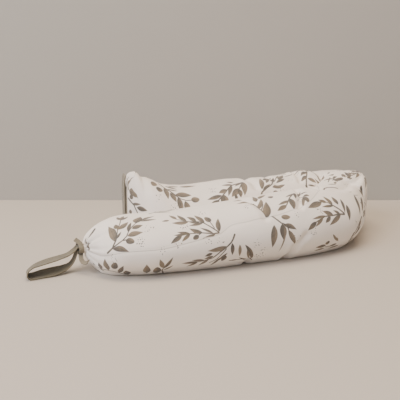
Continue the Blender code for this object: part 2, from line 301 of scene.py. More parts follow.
def report(piece: Object) -> None:
    """Logs a finished piece with its size in millimetres."""
    size = np.ptp(np.array([corner[:] for corner in piece.bound_box]), axis=0) / MM
    LOG.info("%s: %d faces, %.0f x %.0f x %.0f mm", piece.name, len(piece.data.polygons), *size)


# ---- Finishes -------------------------------------------------------------------------------


@dataclass(frozen=True)
class WovenTape:
    """Dyed cotton tape, herringbone-woven: matt, with fine chevrons and a firmer edge."""

    name: str
    colour: str = "7b7361"
    light: str = "918874"
    dark: str = "5d5545"
    rib: float = 1.5  # mm from one chevron to the next, drawn twice as coarse as real to show

    def make(self) -> Material:
        """Builds the finish, which reads the piece's UV map, in metres along and across the tape."""
        look = Look(self.name, roughness=0.88, ior=1.5, sheen_weight=0.25, sheen_roughness=0.6)
        place = add_node(look.tree, "ShaderNodeUVMap", uv_map="tape").outputs[0]
        u, v, _ = three_parts(look.tree, place)
        turns = math.tau / (self.rib * MM)
        chevrons = ((u + v.math("ABSOLUTE")) * turns).math("SINE")
        height = chevrons + (v * (1.6 * turns)).math("SINE") * 0.35
        mottle = look.noise(place, 900.0, 4.0) * 0.35 + look.noise(place, 70.0, 3.0) * 0.5
        tone = height * 0.11 + mottle + 0.08
        colour = look.ramp(tone, (0.25, self.dark), (0.80, self.light), (0.52, self.colour))
        look.dress(colour, height, 0.6, 0.12)
        return look.material


@dataclass(frozen=True)
class PrintedCotton:
    """Plain-weave cotton, bleached off-white and printed with leaf sprigs in thin brown inks."""

    name: str = "printed_cotton_plain_weave"
    cloth: str = "fbf4ed"
    cloth_shade: str = "f1e9e0"
    # painted shade laid along the seam's groove
    seam_painted_shade: str = "7c746a"
    ink_dark: str = "241d14"
    ink_light: str = "716149"
    ink_gold: str = "5f4d29"
    layers: int = 4  # marks that may share one patch of cloth
    crispness: float = 2.2  # how sharply a mark ends, per mm
    cover: float = 0.90  # how much of the cloth's own colour the ink hides
    pool: float = 0.42  # how much darker the ink is where it pools
    fade: float = 0.46  # how much paler a mark gets from its foot to its tip
    dots: float = 300.0  # places for flicked dots per metre
    seam_wide: float = 0.9  # mm
    thread: float = 0.55  # mm from thread to thread, drawn coarser than the real 0.35 to show

    def mark_group(self) -> NodeTree:
        """Builds the drawing of one printed mark: a leaf, a bud or a stretch of stem.

        A mark is a power of a parabola: the power gives a leaf its two points, a bud its round ends
        and a stem its even width. All its lengths are in mm.

        Returns:
            A node group that gives the ink's cover and its tone.
        """
        tree = bpy.data.node_groups.new("printed_mark", "ShaderNodeTree")
        for name, way, kind in (
            ("Place", "INPUT", "Vector"), ("Form", "INPUT", "Vector"),
            ("Ink", "OUTPUT", "Float"), ("Tone", "OUTPUT", "Float"),
        ):
            tree.interface.new_socket(name, in_out=way, socket_type="NodeSocket" + kind)
        entry = add_node(tree, "NodeGroupInput")
        x, y, power = three_parts(tree, entry.outputs["Place"])
        length, half, own_tone = three_parts(tree, entry.outputs["Form"])
        on_mark = x.math("MAXIMUM", 0.0).math("MINIMUM", length)
        share = on_mark.math("DIVIDE", length)
        skewed = share * (share * -0.3 + 1.3)  # widest a little before the middle
        arch = (skewed * (skewed * -1.0 + 1.0) * 4.0).math("MAXIMUM", 0.0001)
        off = y.math("ABSOLUTE")
        gap = arch.math("POWER", power) * half - off - (x - on_mark).math("ABSOLUTE")
        ink = (gap * self.crispness + 0.42).clamp(0.0, 1.0)
        # wet ink pools at a leaf's edge and along its rib, and thins towards one side and its tip
        rim = (gap * -1.6).math("EXPONENT").math("MINIMUM", 1.0)
        rib = (off * -2.6).math("EXPONENT")
        tone = own_tone + y * 0.075 + share * self.fade - 0.20 - rim.math("MAXIMUM", rib) * self.pool
        add_node(tree, "NodeGroupOutput", {"Ink": ink, "Tone": tone})
        return tree

    def make(self) -> Material:
        """Builds the finish, which reads the cushion's print, its seam's distance and its UV map."""
        look = Look(self.name, roughness=0.9, ior=1.5, sheen_weight=0.15, sheen_roughness=0.5)
        group = self.mark_group()
        for layer in range(self.layers):
            place, form = (look.attribute(f"mark_{layer}{end}", "Vector") for end in ("", "_form"))
            feeds = {"Place": place, "Form": form}
            mark = add_node(look.tree, "ShaderNodeGroup", feeds, node_tree=group)
            over, over_tone = (Value(mark.outputs[name]) for name in ("Ink", "Tone"))
            # each mark lies over the ones before it
            tone = over_tone * over + tone * (over * -1.0 + 1.0) if layer else over_tone
            ink = over.math("MAXIMUM", ink) if layer else over
        place = add_node(look.tree, "ShaderNodeUVMap", uv_map="cloth").outputs[0]
        # flicked dots, about a millimetre wide, where the print has a patch of them
        feeds = {"Vector": place, "Scale": self.dots}
        dots = add_node(look.tree, "ShaderNodeTexVoronoi", feeds, voronoi_dimensions="2D")
        chance = add_node(look.tree, "ShaderNodeSeparateColor", {0: dots.outputs["Color"]})
        size, draw = Value(chance.outputs[0]), Value(chance.outputs[1])
        dot = ((size * 0.20 + 0.10 - Value(dots.outputs["Distance"])) * 9.0 + 0.4).clamp(0.0, 1.0)
        ink = ink.math("MAXIMUM", dot * draw.math("LESS_THAN", Value(look.attribute("flick"))))
        tone = tone + look.noise(place, 230.0, 4.0) * 0.9
        inks = look.ramp(tone, (0.30, self.ink_dark), (1.0, self.ink_light))
        gold = (look.noise(place, 32.0, 1.0) * 5.0 - 2.9).clamp(0.0, 0.7)
        golden = look.mix(gold, inks, linear(self.ink_gold))
        slub = look.noise(place, 24.0, 5.0)
        ground = look.mix(slub, linear(self.cloth), linear(self.cloth_shade))
        printed = look.mix(ink * self.cover, ground, golden)
        # the seam is a fine groove, and its colour is darkened along it with painted shade
        seam = Value(look.attribute("seam_gap")).math("DIVIDE", self.seam_wide)
        groove = (seam * seam * -1.0).math("EXPONENT")
        with_painted_seam_shade = look.mix(groove * 0.30, printed, linear(self.seam_painted_shade))
        # plain weave: warp and weft threads pass over each other in turn
        u, v, _ = three_parts(look.tree, place)
        turns = math.pi / (self.thread * MM)
        weave = (u * turns).math("SINE") * (v * turns).math("SINE")
        look.dress(with_painted_seam_shade, weave * 0.06 - groove * 0.8, 0.7, 0.8)
        return look.material


# ---- The printed tube -----------------------------------------------------------------------


class Station(NamedTuple):
    """A place on the tube's middle, with the section there."""

    x: float
    y: float
    top: float  # highest point
    low: float  # where the underside would reach if the table did not flatten it
    inner: float = 1.0  # half width towards the inside of the hairpin, as a share of the free one
    square: float = 2.0  # exponent of the section's inner side, 2 for an ellipse
    brow: float = 2.0  # exponent of its outer side above the middle


STATIONS = (
    Station(-0.2040, -0.0350, 0.0770, -0.0040),
    Station(-0.1900, -0.0360, 0.0770, -0.0040),
    Station(-0.1600, -0.0440, 0.0775, -0.0042),
    Station(-0.1150, -0.0600, 0.0785, -0.0045),
    Station(-0.0600, -0.0710, 0.0815, -0.0045, 1.00, 2.1),
    Station(0.0000, -0.0780, 0.0860, -0.0045, 1.00, 2.2),
    Station(0.0500, -0.0830, 0.0900, -0.0045, 0.98, 2.5),
    Station(0.1000, -0.0860, 0.0925, -0.0045, 0.96, 3.0),
    Station(0.1500, -0.0840, 0.0930, -0.0045, 0.92, 3.0),
    Station(0.1850, -0.0745, 0.0915, -0.0045, 0.86, 2.8),
    Station(0.2060, -0.0545, 0.0910, -0.0040, 0.74, 2.4, 2.2),
    Station(0.2280, -0.0245, 0.0930, -0.0025, 0.60, 2.0, 2.6),
    Station(0.2525, 0.0040, 0.0985, -0.0025, 0.50, 2.0, 5.5),
    Station(0.2455, 0.0265, 0.0920, -0.0035, 0.56, 2.2, 3.2),
    Station(0.2120, 0.0340, 0.0960, -0.0045, 0.84, 2.6),
    Station(0.1600, 0.0330, 0.0920, -0.0045, 0.92, 3.0),
    Station(0.1100, 0.0320, 0.0920, -0.0045, 0.96, 3.0),
    Station(0.0600, 0.0330, 0.0950, -0.0045, 0.98, 2.5),
    Station(0.0100, 0.0350, 0.0915, -0.0045, 1.00, 2.2),
    Station(-0.0500, 0.0390, 0.0930, -0.0045),
    Station(-0.1040, 0.0440, 0.0940, -0.0045),
)

# The flat seam's corner: metres from the seam, and how far it stands above the free tube there
CORNER = (
    (0.0000, 0.0160), (0.0025, 0.0235), (0.0060, 0.0262), (0.0115, 0.0268), (0.0150, 0.0254),
    (0.0180, 0.0222), (0.0205, 0.0186), (0.0240, 0.0172), (0.0300, 0.0166), (0.0400, 0.0120),
    (0.0480, 0.0074), (0.0560, 0.0036), (0.0700, 0.0010), (0.0900, 0.0000),
)


@dataclass
class TubeForm:
    """The stuffed tube's smooth form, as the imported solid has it, in the maker's own frame."""

    girth: float = 0.330
    neck_half: float = 0.0088
    neck_low: float = 0.0275
    neck_top: float = 0.0400
    neck_length: float = 0.005
    dome_length: float = 0.068
    dome_power: float = 0.60
    keel_length: float = 0.042
    flat_length: float = 0.060
    flat_power: float = 1.7
    seam_half: float = 0.0013
    lean: float = 0.0030
    lean_foot: float = 0.090
    lean_step: float = 0.012
    lean_reach: float = 0.010
    rows: np.ndarray = field(init=False)
    knots: np.ndarray = field(init=False)  # how far along the middle each station lies
    shift: np.ndarray = field(init=False)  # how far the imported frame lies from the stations' own

    def __post_init__(self) -> None:
        """Measures the middle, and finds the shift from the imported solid's box."""
        self.rows = np.array(STATIONS)
        counts = np.arange(len(self.rows), dtype=float)
        fine = np.linspace(0, counts[-1], 2000)
        self.knots = np.interp(counts, fine, travelled(hermite(self.rows[:, :2], counts, fine)))
        along = np.linspace(0, self.length, 440)
        points = self.surface(along, np.arange(32) * math.tau / 32).reshape(-1, 3)
        low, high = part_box("tube_cushion")
        across = (low[1] + high[1] - points[:, 1].min() - points[:, 1].max()) / 2
        self.shift = np.array([low[0] - points[:, 0].min(), across, 0])

    @property
    def length(self) -> float:
        """Metres along the middle, from the tie to the flat seam."""
        return float(self.knots[-1])

    def foot(self, station: int) -> np.ndarray:
        """A station's middle, on the ground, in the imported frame."""
        return np.array([*self.rows[station, :2], 0]) + self.shift

    def surface(self, along: np.ndarray, turns: np.ndarray) -> np.ndarray:
        """The smooth surface.

        Args:
            along: metres along the middle, one for each ring.
            turns: radians round the section, one for each point of a ring.

        Returns:
            Points by ring, place in the ring and axis.
        """
        values = hermite(self.rows, self.knots, along)
        step = 0.002
        ahead = hermite(self.rows, self.knots, np.minimum(along + step, self.length))[:, :2]
        behind = hermite(self.rows, self.knots, np.maximum(along - step, 0))[:, :2]
        heading = unit(ahead - behind)
        outward = np.column_stack([heading[:, 1], -heading[:, 0]])
        middle, top, low, inner, square, brow = values[:, :2], *values[:, 2:, None].swapaxes(0, 1)
        along, from_end = along[:, None], self.length - along[:, None]
        dome = quarter_round((along - self.neck_length) / self.dome_length) ** (2 * self.dome_power)
        keel = quarter_round((along - self.neck_length) / self.keel_length)
        flat = quarter_round(from_end / self.flat_length) ** self.flat_power
        free_half = self.girth / math.pi - (top - low) / 2
        half = self.neck_half + (free_half - self.neck_half) * dome
        half = self.seam_half + (half - self.seam_half) * flat
        top = self.neck_top + (top - self.neck_top) * dome + np.interp(from_end, *np.array(CORNER).T)
        low = self.neck_low + (low - self.neck_low) * keel
        cos, sin = np.cos(turns), np.sin(turns)
        power = np.where(cos < 0, 2 / square, np.where(sin > 0, 2 / brow, 1.0))
        across = np.where(cos < 0, half * inner, half) * np.sign(cos) * np.abs(cos) ** power
        height = (top + low) / 2 + (top - low) / 2 * np.sign(sin) * np.abs(sin) ** power
        nearness = np.clip((self.seam_half - across) / (1.5 * self.seam_half), 0, 1)
        lean = self.lean * bump(from_end, self.lean_reach) * nearness
        lean = lean * np.clip((height - self.lean_foot) / self.lean_step, 0, 1)
        place = middle[:, None] + across[..., None] * outward[:, None]
        place = place + lean[..., None] * heading[:, None]
        return np.concatenate([place, np.maximum(height, 0)[..., None]], axis=2)


class Fold(NamedTuple):
    """A soft trough pressed into the cloth, from one place on the tube to another."""

    along: float
    round: float
    along_end: float
    round_end: float
    depth: float
    reach: float  # half width of the trough


# The tube's own folds, by the fields of a Fold
FOLDS = (
    # the crease that runs over the bend's shoulder to its outer corner
    (0.384, 99, 0.398, 80, 0.0040, 0.0075),
    (0.398, 80, 0.427, 68, 0.0045, 0.0075),
    (0.427, 68, 0.480, 58, 0.0042, 0.0075),
    # the pleat across the near leg, and its other half across the far leg
    (0.352, 112, 0.316, 50, 0.0050, 0.0045),
    (0.571, 70, 0.592, 125, 0.0050, 0.0045),
    # the pinch low on the near leg's front, and the tuck beside it
    (0.294, 298, 0.303, 340, 0.0045, 0.0050),
    (0.303, 340, 0.317, 358, 0.0030, 0.0050),
    (0.234, 285, 0.234, 320, 0.0035, 0.0050),
    # where the near leg dives under the bend's shoulder
    (0.246, 100, 0.259, 60, 0.0040, 0.0050),
    (0.259, 60, 0.259, 38, 0.0025, 0.0050),
    # waves across the far leg's top
    (0.668, 55, 0.674, 125, 0.0040, 0.0070),
    (0.628, 60, 0.634, 120, 0.0025, 0.0060),
    (0.540, 65, 0.536, 120, 0.0035, 0.0070),
    (0.510, 60, 0.504, 110, 0.0030, 0.0060),
)

# The long seam's way along the tube, as metres along and degrees round
LONG_SEAM = (
    (0.000, -2), (0.073, 10), (0.112, 12), (0.133, 16), (0.161, 21), (0.187, 26), (0.203, 36),
    (0.227, 38), (0.250, 40), (0.278, 41), (0.298, 45), (0.322, 51), (0.337, 59), (0.357, 75),
    (0.384, 93), (0.420, 112), (0.500, 150), (0.600, 185), (0.740, 210), (0.885, 225),
)


class Stroke(Enum):
    """A kind of printed mark, by the power that shapes its sides."""

    LEAF = 1.05
    BUD = 0.55
    STEM = 0.05


class Mark(NamedTuple):
    """One printed mark in a motif's own frame, in mm: x along the tube's near leg, y upwards."""

    x: float
    y: float
    x_end: float
    y_end: float
    half: float  # half of its width
    tone: float = 0.3  # 0 dark to 1 pale
    bow: float = 0.0  # how far its middle bends to its left
    stroke: Stroke = Stroke.LEAF


class Motif(NamedTuple):
    """A group of marks that the print repeats, in mm."""

    middle: tuple[float, float]
    marks: tuple[tuple, ...]  # each the fields of a Mark
    flicks: tuple[tuple, ...]  # patches of fine flicked dots, each an x, a y and a reach


def bud(*numbers: float) -> Mark:
    """A bud, from the numbers of a mark."""
    return Mark(*numbers, stroke=Stroke.BUD)


def stem(*points: float, half: float = 0.62) -> list[Mark]:
    """A stem through points, given as x, y, x, y and so on, thinner at each step."""
    starts = range(0, len(points) - 2, 2)
    return [Mark(*points[k : k + 4], half * 0.93 ** (k / 2), 0.12, 0.0, Stroke.STEM) for k in starts]


FORKED = Motif((25, 38), (
    *stem(0, 0, 8, 7, 12, 20, 10, 34, 9, 53, 6, 63, half=0.8),
    *stem(8, 7, 22, 18, 27, 25, 28, 34, 34, 54, 40, 63), *stem(10, 35, 8, 40), *stem(22, 18, 28, 19),
    (11, 16, -8, 45, 4.2, 0.45, -1.5), (12, 20, 17, 34, 1.6, 0.15), bud(8, 39, 1, 48, 3.1, 0.1),
    (11, 37, 22, 57, 3.7, 0.4, -1.0), (6, 63, -8, 76, 2.5, 0.35, 1.0), (6, 62, 14, 78, 2.4, 0.3, -1.0),
    (6, 63, 4, 81, 2.8, 0.5), (28, 33, 27, 56, 2.2, 0.15, 0.8), (28, 25, 49, 34, 3.9, 0.55, 1.5),
    (32, 40, 46, 49, 3.5, 0.35, 1.0), (34, 54, 33, 78, 5.0, 0.3), (38, 60, 61, 69, 2.5, 0.3, 1.0),
    (39, 64, 53, 82, 2.5, 0.3, 1.0), bud(27, 19, 39, 15, 3.7, 0.15), (8, 6, 32, 0, 3.2, 0.15, 2.5),
), ((46, 17, 11), (57, 43, 9)))
TWO_ARMS = Motif((-34, 20), (
    *stem(0, 0, -14, 16, -19, 22, -29, 26, -40, 29, -52, 37), *stem(0, 0, -8, 0, -25, 4, -42, 6, -54, 6),
    *stem(-5, 8, -8, 20, half=0.4), *stem(-26, 4, -32, 1, half=0.4), (0, 1, 6, 24, 2.8, 0.25, 1.0),
    bud(-7, 20, -12, 31, 3.3, 0.15), (-16, 20, -25, 40, 2.7, 0.4), (-22, 23, -38, 26, 1.6, 0.2, 0.8),
    (-27, 25, -37, 39, 2.7, 0.25, -1.0), (-40, 29, -48, 49, 2.4, 0.2, 1.0), (-52, 37, -59, 53, 2.1, 0.5),
    (-38, 27, -62, 31, 2.8, 0.5, 1.0), (-17, 21, -40, 20, 1.8, 0.3, 1.0), (-63, 38, -74, 39, 1.6, 0.5),
    (-6, -1, -27, -4, 1.8, 0.4, 1.0), (-9, 1, -26, 13, 1.4, 0.2), (-24, 4, -41, 15, 2.7, 0.25, 1.5),
    (-42, 6, -60, 12, 1.8, 0.25), (-42, 6, -57, -4, 2.0, 0.35), (-54, 6, -73, -4, 2.7, 0.05),
    (-47, 6, -66, 8, 1.4, 0.2), bud(-31, 1, -40, -3, 2.6, 0.05),
), ((-12, 42, 7), (-47, 20, 9), (-62, -9, 8)))
HANGING_TRIO = Motif((8, -24), (
    *stem(-3, 4, 3, -4, 9, -11, 17, -15, 19, -23, half=0.75), *stem(17, -15, 22, -17, half=0.5),
    (-3, -12, -8, -46, 4.0, 0.35), (10, -12, 10, -37, 4.2, 0.1), (12, -14, 32, -24, 2.8, 0.2, 1.5),
    (18, -22, 31, -48, 2.8, 0.5), (15, -22, 4, -58, 1.0, 0.95), bud(12, -2, 26, -4, 3.0, 0.6),
), ((-26, -58, 11), (34, -35, 8)))
ARCHED = Motif((-4, 30), (
    *stem(2, -1, 0, 12, -1, 22, -4, 34, -12, 45, -26, 50, half=0.7), *stem(0, 14, 6, 24, half=0.5),
    (3, -3, 14, 29, 4.6, 0.2, 0.5), (0, 19, 9, 39, 2.6, 0.5), (-4, 33, -33, 39, 2.5, 0.55, -1.5),
    (-12, 46, -33, 54, 2.0, 0.55), (-1, 34, 2, 60, 2.6, 0.35), (5, 41, 26, 58, 2.9, 0.4, 1.5),
    bud(22, 40, 31, 43, 3.1, 0.2),
), ((-20, 25, 8),))
FEATHER = Motif((22, -18), (
    *stem(-2, 4, 0, 2, 8, -7, 15, -13, 23, -20, 30, -26, half=0.9),
    *stem(27, -23, 31, -26, 40, -28, 49, -26, half=0.5), bud(-10, -1, -15, -14, 4.1, 0.6),
    bud(-3, -12, -4, -23, 4.3, 0.1), (8, 2, 28, -4, 1.8, 0.15), (6, -6, 12, -32, 3.2, 0.45),
    (10, -8, 28, -9, 1.4, 0.2), (15, -16, 25, -34, 3.2, 0.3), (23, -19, 49, -17, 4.1, 0.35, 0.8),
    (27, -23, 36, -52, 3.2, 0.2), (38, -29, 47, -50, 3.6, 0.4), bud(48, -26, 61, -23, 3.5, 0.35),
    (32, 6, 61, 11, 2.4, 0.45), (14, 4, 32, 6, 1.7, 0.6),
), ((-4, -34, 8), (22, -44, 9)))
CLUSTER = Motif((-32, -20), (
    *stem(0, 0, -22, -9, -34, -20, -41, -27, -52, -37, half=0.8), *stem(0, 0, -11, -17, half=0.6),
    (1, 0, -6, -32, 3.8, 0.5), (-1, 0, -18, -12, 1.6, 0.15), (-11, -17, -29, -33, 3.7, 0.35),
    (-12, -19, -13, -35, 3.0, 0.15), (-21, -28, -21, -42, 2.0, 0.1), (-22, -9, -34, -31, 2.4, 0.15),
    (-19, -8, -38, -5, 2.1, 0.35), (-16, 0, -27, 4, 2.0, 0.3), (-32, -18, -48, -23, 3.3, 0.35),
    (-44, -28, -70, -34, 2.8, 0.2), (-41, -27, -42, -51, 4.9, 0.3), (-50, -36, -71, -51, 3.5, 0.2),
), ((-56, -15, 9), (-30, -46, 7)))
SPRIG = Motif((28, 20), (
    *stem(-4, -8, 0, 0, 11, 7, 24, 15, 39, 35, 54, 52, half=0.9), (2, 5, 16, 45, 3.4, 0.5),
    (3, 4, 22, 17, 1.8, 0.15), bud(18, 33, 28, 44, 3.3, 0.1), (16, 20, 36, 50, 2.6, 0.35),
    (29, 25, 40, 47, 2.0, 0.1), (36, 22, 57, 33, 3.4, 0.15), (44, 31, 62, 53, 3.7, 0.3),
    (22, 8, 48, 12, 3.8, 0.35), bud(20, -2, 31, -6, 3.9, 0.1), (59, 43, 83, 45, 1.3, 0.3),
), ((38, 0, 8), (62, 24, 7)))
END_SPRIG = Motif((6, -4), (
    *stem(-7, 8, 0, 0, 4, -4, 9, -17, half=0.8), bud(-1, 12, 4, 6, 3.2, 0.15), (0, -2, 19, -4, 1.7, 0.3),
    (9, -8, 29, -15, 2.9, 0.05), (-7, -10, -7, -19, 2.9, 0.2),
), ())
DROOPING = Motif((-26, -16), (
    *stem(7, 11, 3, 4, 0, 0, -8, -6, -18, -12, -28, -20, -40, -23, -50, -24, half=0.8),
    *stem(-8, -8, -22, -24, -32, -30, half=0.5), (1, -1, 2, -21, 2.3, 0.1), (-6, -5, -37, -7, 2.7, 0.5, 1.2),
    bud(-8, -20, -13, -30, 2.8, 0.1), (-29, -12, -41, -15, 1.9, 0.1), (-27, -17, -42, -20, 1.6, 0.3),
    (-40, -22, -60, -19, 1.5, 0.3), (-48, -24, -74, -23, 1.9, 0.15), (-6, -15, -23, -30, 1.7, 0.3),
    (-17, -22, -29, -40, 1.7, 0.15), (-34, -22, -48, -34, 1.9, 0.35), (-50, -25, -66, -33, 1.7, 0.25),
), ((-16, 4, 7), (-34, 4, 7), (40, -8, 7)))
CRESCENT = Motif((0, 4), (
    *stem(-24, -1, -11, -2, 1, -2, 17, -13, half=0.6), (-11, 26, -9, 5, 1.9, 0.95),
    (-3, 25, 14, -11, 2.4, 0.1, 3.2), (1, 17, 8, -5, 1.5, 0.5), (-10, 3, 16, -12, 1.2, 0.1),
    (-10, -2, -24, -1, 1.2, 0.2),
), ((26, 14, 8),))
HANGING_LEAVES = Motif((-8, -8), (
    *stem(14, 11, 0, 0, -6, -7, -15, -17, half=0.7), (-1, -3, -6, -29, 3.7, 0.1),
    (-5, -7, -27, -13, 2.1, 0.3), (-14, -16, -33, -24, 3.0, 0.25), (14, 11, -6, 3, 1.8, 0.3),
    (15, 11, 7, -6, 2.0, 0.1),
), ((-4, -36, 6),))
CUT_SPRIG = Motif((0, 0), (
    *stem(-10, 4, 0, -1, 6, -3, half=0.6), (-11, 1, 7, 25, 2.2, 0.1), bud(1, 0, 9, -6, 2.8, 0.1),
    (0, -1, -11, -25, 2.0, 0.35), (-1, -3, 2, -26, 3.0, 0.1), (3, 18, 13, 6, 1.5, 0.2),
), ((-9, -8, 8),))
UPRIGHT = Motif((8, 12), (
    *stem(0, 0, 4, 6, 10, 15, 20, 26, 29, 34, half=0.8), (28, 34, 3, 25, 3.0, 0.1),
    (14, 20, -6, 12, 2.8, 0.25), (12, 14, 25, 1, 3.0, 0.6, 1.0), (3, 1, -15, -8, 3.5, 0.15, 1.0),
    (4, 1, 21, -4, 1.3, 0.1),
), ())
CREASE_TWIG = Motif((24, 0), (
    *stem(-24, 2, -7, 5, 0, 0, 7, -6, 12, -13, half=0.9), *stem(36, 10, 62, 14, half=0.6),
    (22, 7, 25, -7, 2.1, 0.1), (44, 0, 66, -4, 3.9, 0.1), (58, 8, 76, 4, 2.0, 0.15),
    (68, -5, 76, -9, 1.8, 0.3), (66, -14, 74, -18, 1.7, 0.2),
), ())
RIDGE_SPRIG = Motif((-14, 0), (
    *stem(10, 0, -6, 4, -24, 2, -34, -2, half=0.7), bud(-27, -5, -13, -8, 4.0, 0.1),
    (-24, 0, -36, -12, 2.8, 0.2), (0, 1, -10, -12, 2.4, 0.35), (9, -1, -7, -19, 3.2, 0.1, 1.0),
    (12, -4, 8, -20, 2.0, 0.6), (-38, -9, -50, -16, 1.8, 0.6), (-6, 4, -14, 20, 2.4, 0.3),
    (-24, 2, -36, 16, 2.4, 0.3),
), ((14, -14, 8),))
LONG_FEATHER = Motif((20, 0), (
    *stem(73, 4, 70, -2, 40, -7, 16, -14, half=0.6),
    *stem(6, -17, -2, -22, -10, -29, -17, -40, -19, -56, half=0.8), (24, 20, -1, -14, 3.1, 0.1, -1.0),
    (48, 10, 12, -11, 3.1, 0.1), (80, 27, 66, 4, 2.5, 0.1), (69, 23, 68, 8, 1.8, 0.3),
    (37, -12, 12, -20, 2.5, 0.2), (2, -22, -10, -36, 1.8, 0.3), (2, -31, -16, -46, 2.3, 0.15),
    (-10, -48, -18, -62, 2.5, 0.1), (-18, -36, -20, -52, 2.0, 0.4),
), ((-15, -20, 8),))
LOW_SPRIG = Motif((0, 0), (
    *stem(15, -2, 4, -5, -6, -4, half=0.6), (-6, 0, -25, -2, 3.0, 0.15), bud(-2, 6, -10, 5, 2.9, 0.15),
    (17, -2, 2, -6, 2.3, 0.2), (0, 20, 14, 4, 1.4, 0.75), (9, 13, 17, 3, 1.2, 0.8),
    (25, -8, 6, -13, 2.4, 0.3), (-4, -8, -22, -12, 2.2, 0.35),
), ())
CURVED_ARMS = Motif((-28, 10), (
    *stem(0, 0, -8, 9, -16, 17, -21, 23, -29, 27, half=0.8),
    *stem(0, -1, -10, 1, -23, 1, -40, 2, -49, -1, -58, -4, half=0.8), (12, 14, 8, -12, 3.1, 0.1),
    (8, 26, 1, 0, 2.1, 0.1), (-31, 27, -62, 21, 4.0, 0.25), (-23, 24, -35, 32, 2.6, 0.2),
    (-15, 18, -20, 38, 2.6, 0.35), (-14, 16, -37, 18, 1.8, 0.1), (-5, 16, -5, 34, 2.9, 0.1),
    (-23, 1, -40, 11, 3.0, 0.2), (-9, 1, -20, 9, 1.8, 0.2), (-8, 0, -34, -13, 2.9, 0.35),
    (-29, 0, -41, -8, 2.5, 0.1), (-38, 3, -63, 2, 1.7, 0.3), (-43, 1, -60, -11, 2.0, 0.3),
    (-56, -3, -74, -14, 2.9, 0.05),
), ((-45, 11, 8), (-62, -18, 7)))
ARC = Motif((18, 4), ((3, 2, 37, 5, 1.8, 0.1, 4.0),), ())
LOW_LEAVES = Motif((0, 0), (
    *stem(24, -24, 13, -14, 5, -7, -2, -5, -12, -5, -30, -11, half=0.6), (0, -5, -2, 17, 3.5, 0.4),
    bud(9, 0, 15, 13, 3.6, 0.1), (12, -14, 25, 7, 2.7, 0.2), (23, -22, 25, -6, 4.0, 0.1),
    (-29, -12, -32, -4, 2.6, 0.15), bud(-19, 1, -9, -2, 3.4, 0.1), (-12, -5, -14, -16, 2.4, 0.4),
), ((10, 19, 9),))
LOW_BUDS = Motif((0, 0), (
    *stem(8, -26, 4, -9, 5, -3, half=0.6), (-17, -18, -19, 9, 4.0, 0.35), bud(-2, -19, -4, 2, 4.4, 0.1),
    (5, -4, 18, 18, 2.1, 0.2), (5, -2, -1, 17, 2.6, 0.8), (6, -9, 19, 2, 1.5, 0.3),
), ((4, 29, 7),))
END_STEM = Motif((4, 12), (
    *stem(14, 38, 6, 25, 3, 16, 4, 8, half=0.8), *stem(11, -9, 19, -15, half=0.7),
    (7, 13, 12, -10, 2.4, 0.2),
), ())


class Print(NamedTuple):
    """A motif's place on the tube."""

    motif: Motif
    along: float
    round: float
    turn: float = 0.0  # degrees anticlockwise, as seen on the near leg
    side: int = 0  # 1 keeps only what lies above the long seam, -1 below it
    low: float = 0.0  # where along the tube a pleat cuts it off
    high: float = 9.0


PRINTS = (
    Print(FORKED, 0.036, 8, side=1),
    Print(END_STEM, 0.003, 30, side=1),
    Print(LOW_LEAVES, 0.036, 330, side=-1),
    Print(LOW_BUDS, 0.105, 330, side=-1),
    Print(TWO_ARMS, 0.184, 26, side=1),
    Print(DROOPING, 0.200, 7, side=-1),
    Print(CRESCENT, 0.224, 328, side=-1),
    Print(ARCHED, 0.259, 42, side=1),
    Print(HANGING_TRIO, 0.270, 39, side=-1),
    Print(HANGING_LEAVES, 0.310, 74, side=1),
    Print(CUT_SPRIG, 0.334, 76, side=1),
    Print(ARC, 0.372, 81, side=1),
    Print(CURVED_ARMS, 0.378, 24, side=-1),
    Print(LOW_SPRIG, 0.357, 328, side=-1),
    Print(LONG_FEATHER, 0.399, 29, side=-1),
    Print(CREASE_TWIG, 0.404, 90),
    Print(TWO_ARMS, 0.505, 20),
    Print(RIDGE_SPRIG, 0.482, 88),
    Print(UPRIGHT, 0.585, 142, 180, high=0.586),
    Print(SPRIG, 0.669, 140, 180, low=0.590),
    Print(CLUSTER, 0.691, 105, 180),
    Print(FEATHER, 0.826, 102, 180),
    Print(END_SPRIG, 0.873, 164, 180),
)
SPARE = (FORKED, TWO_ARMS, FEATHER, ARCHED, CLUSTER)


class ClothGrid(NamedTuple):
    """The tube's cloth as a grid of rings, with real lengths measured along and round it."""

    points: np.ndarray
    normals: np.ndarray
    along: np.ndarray
    turns: np.ndarray
    length_along: np.ndarray
    length_round: np.ndarray


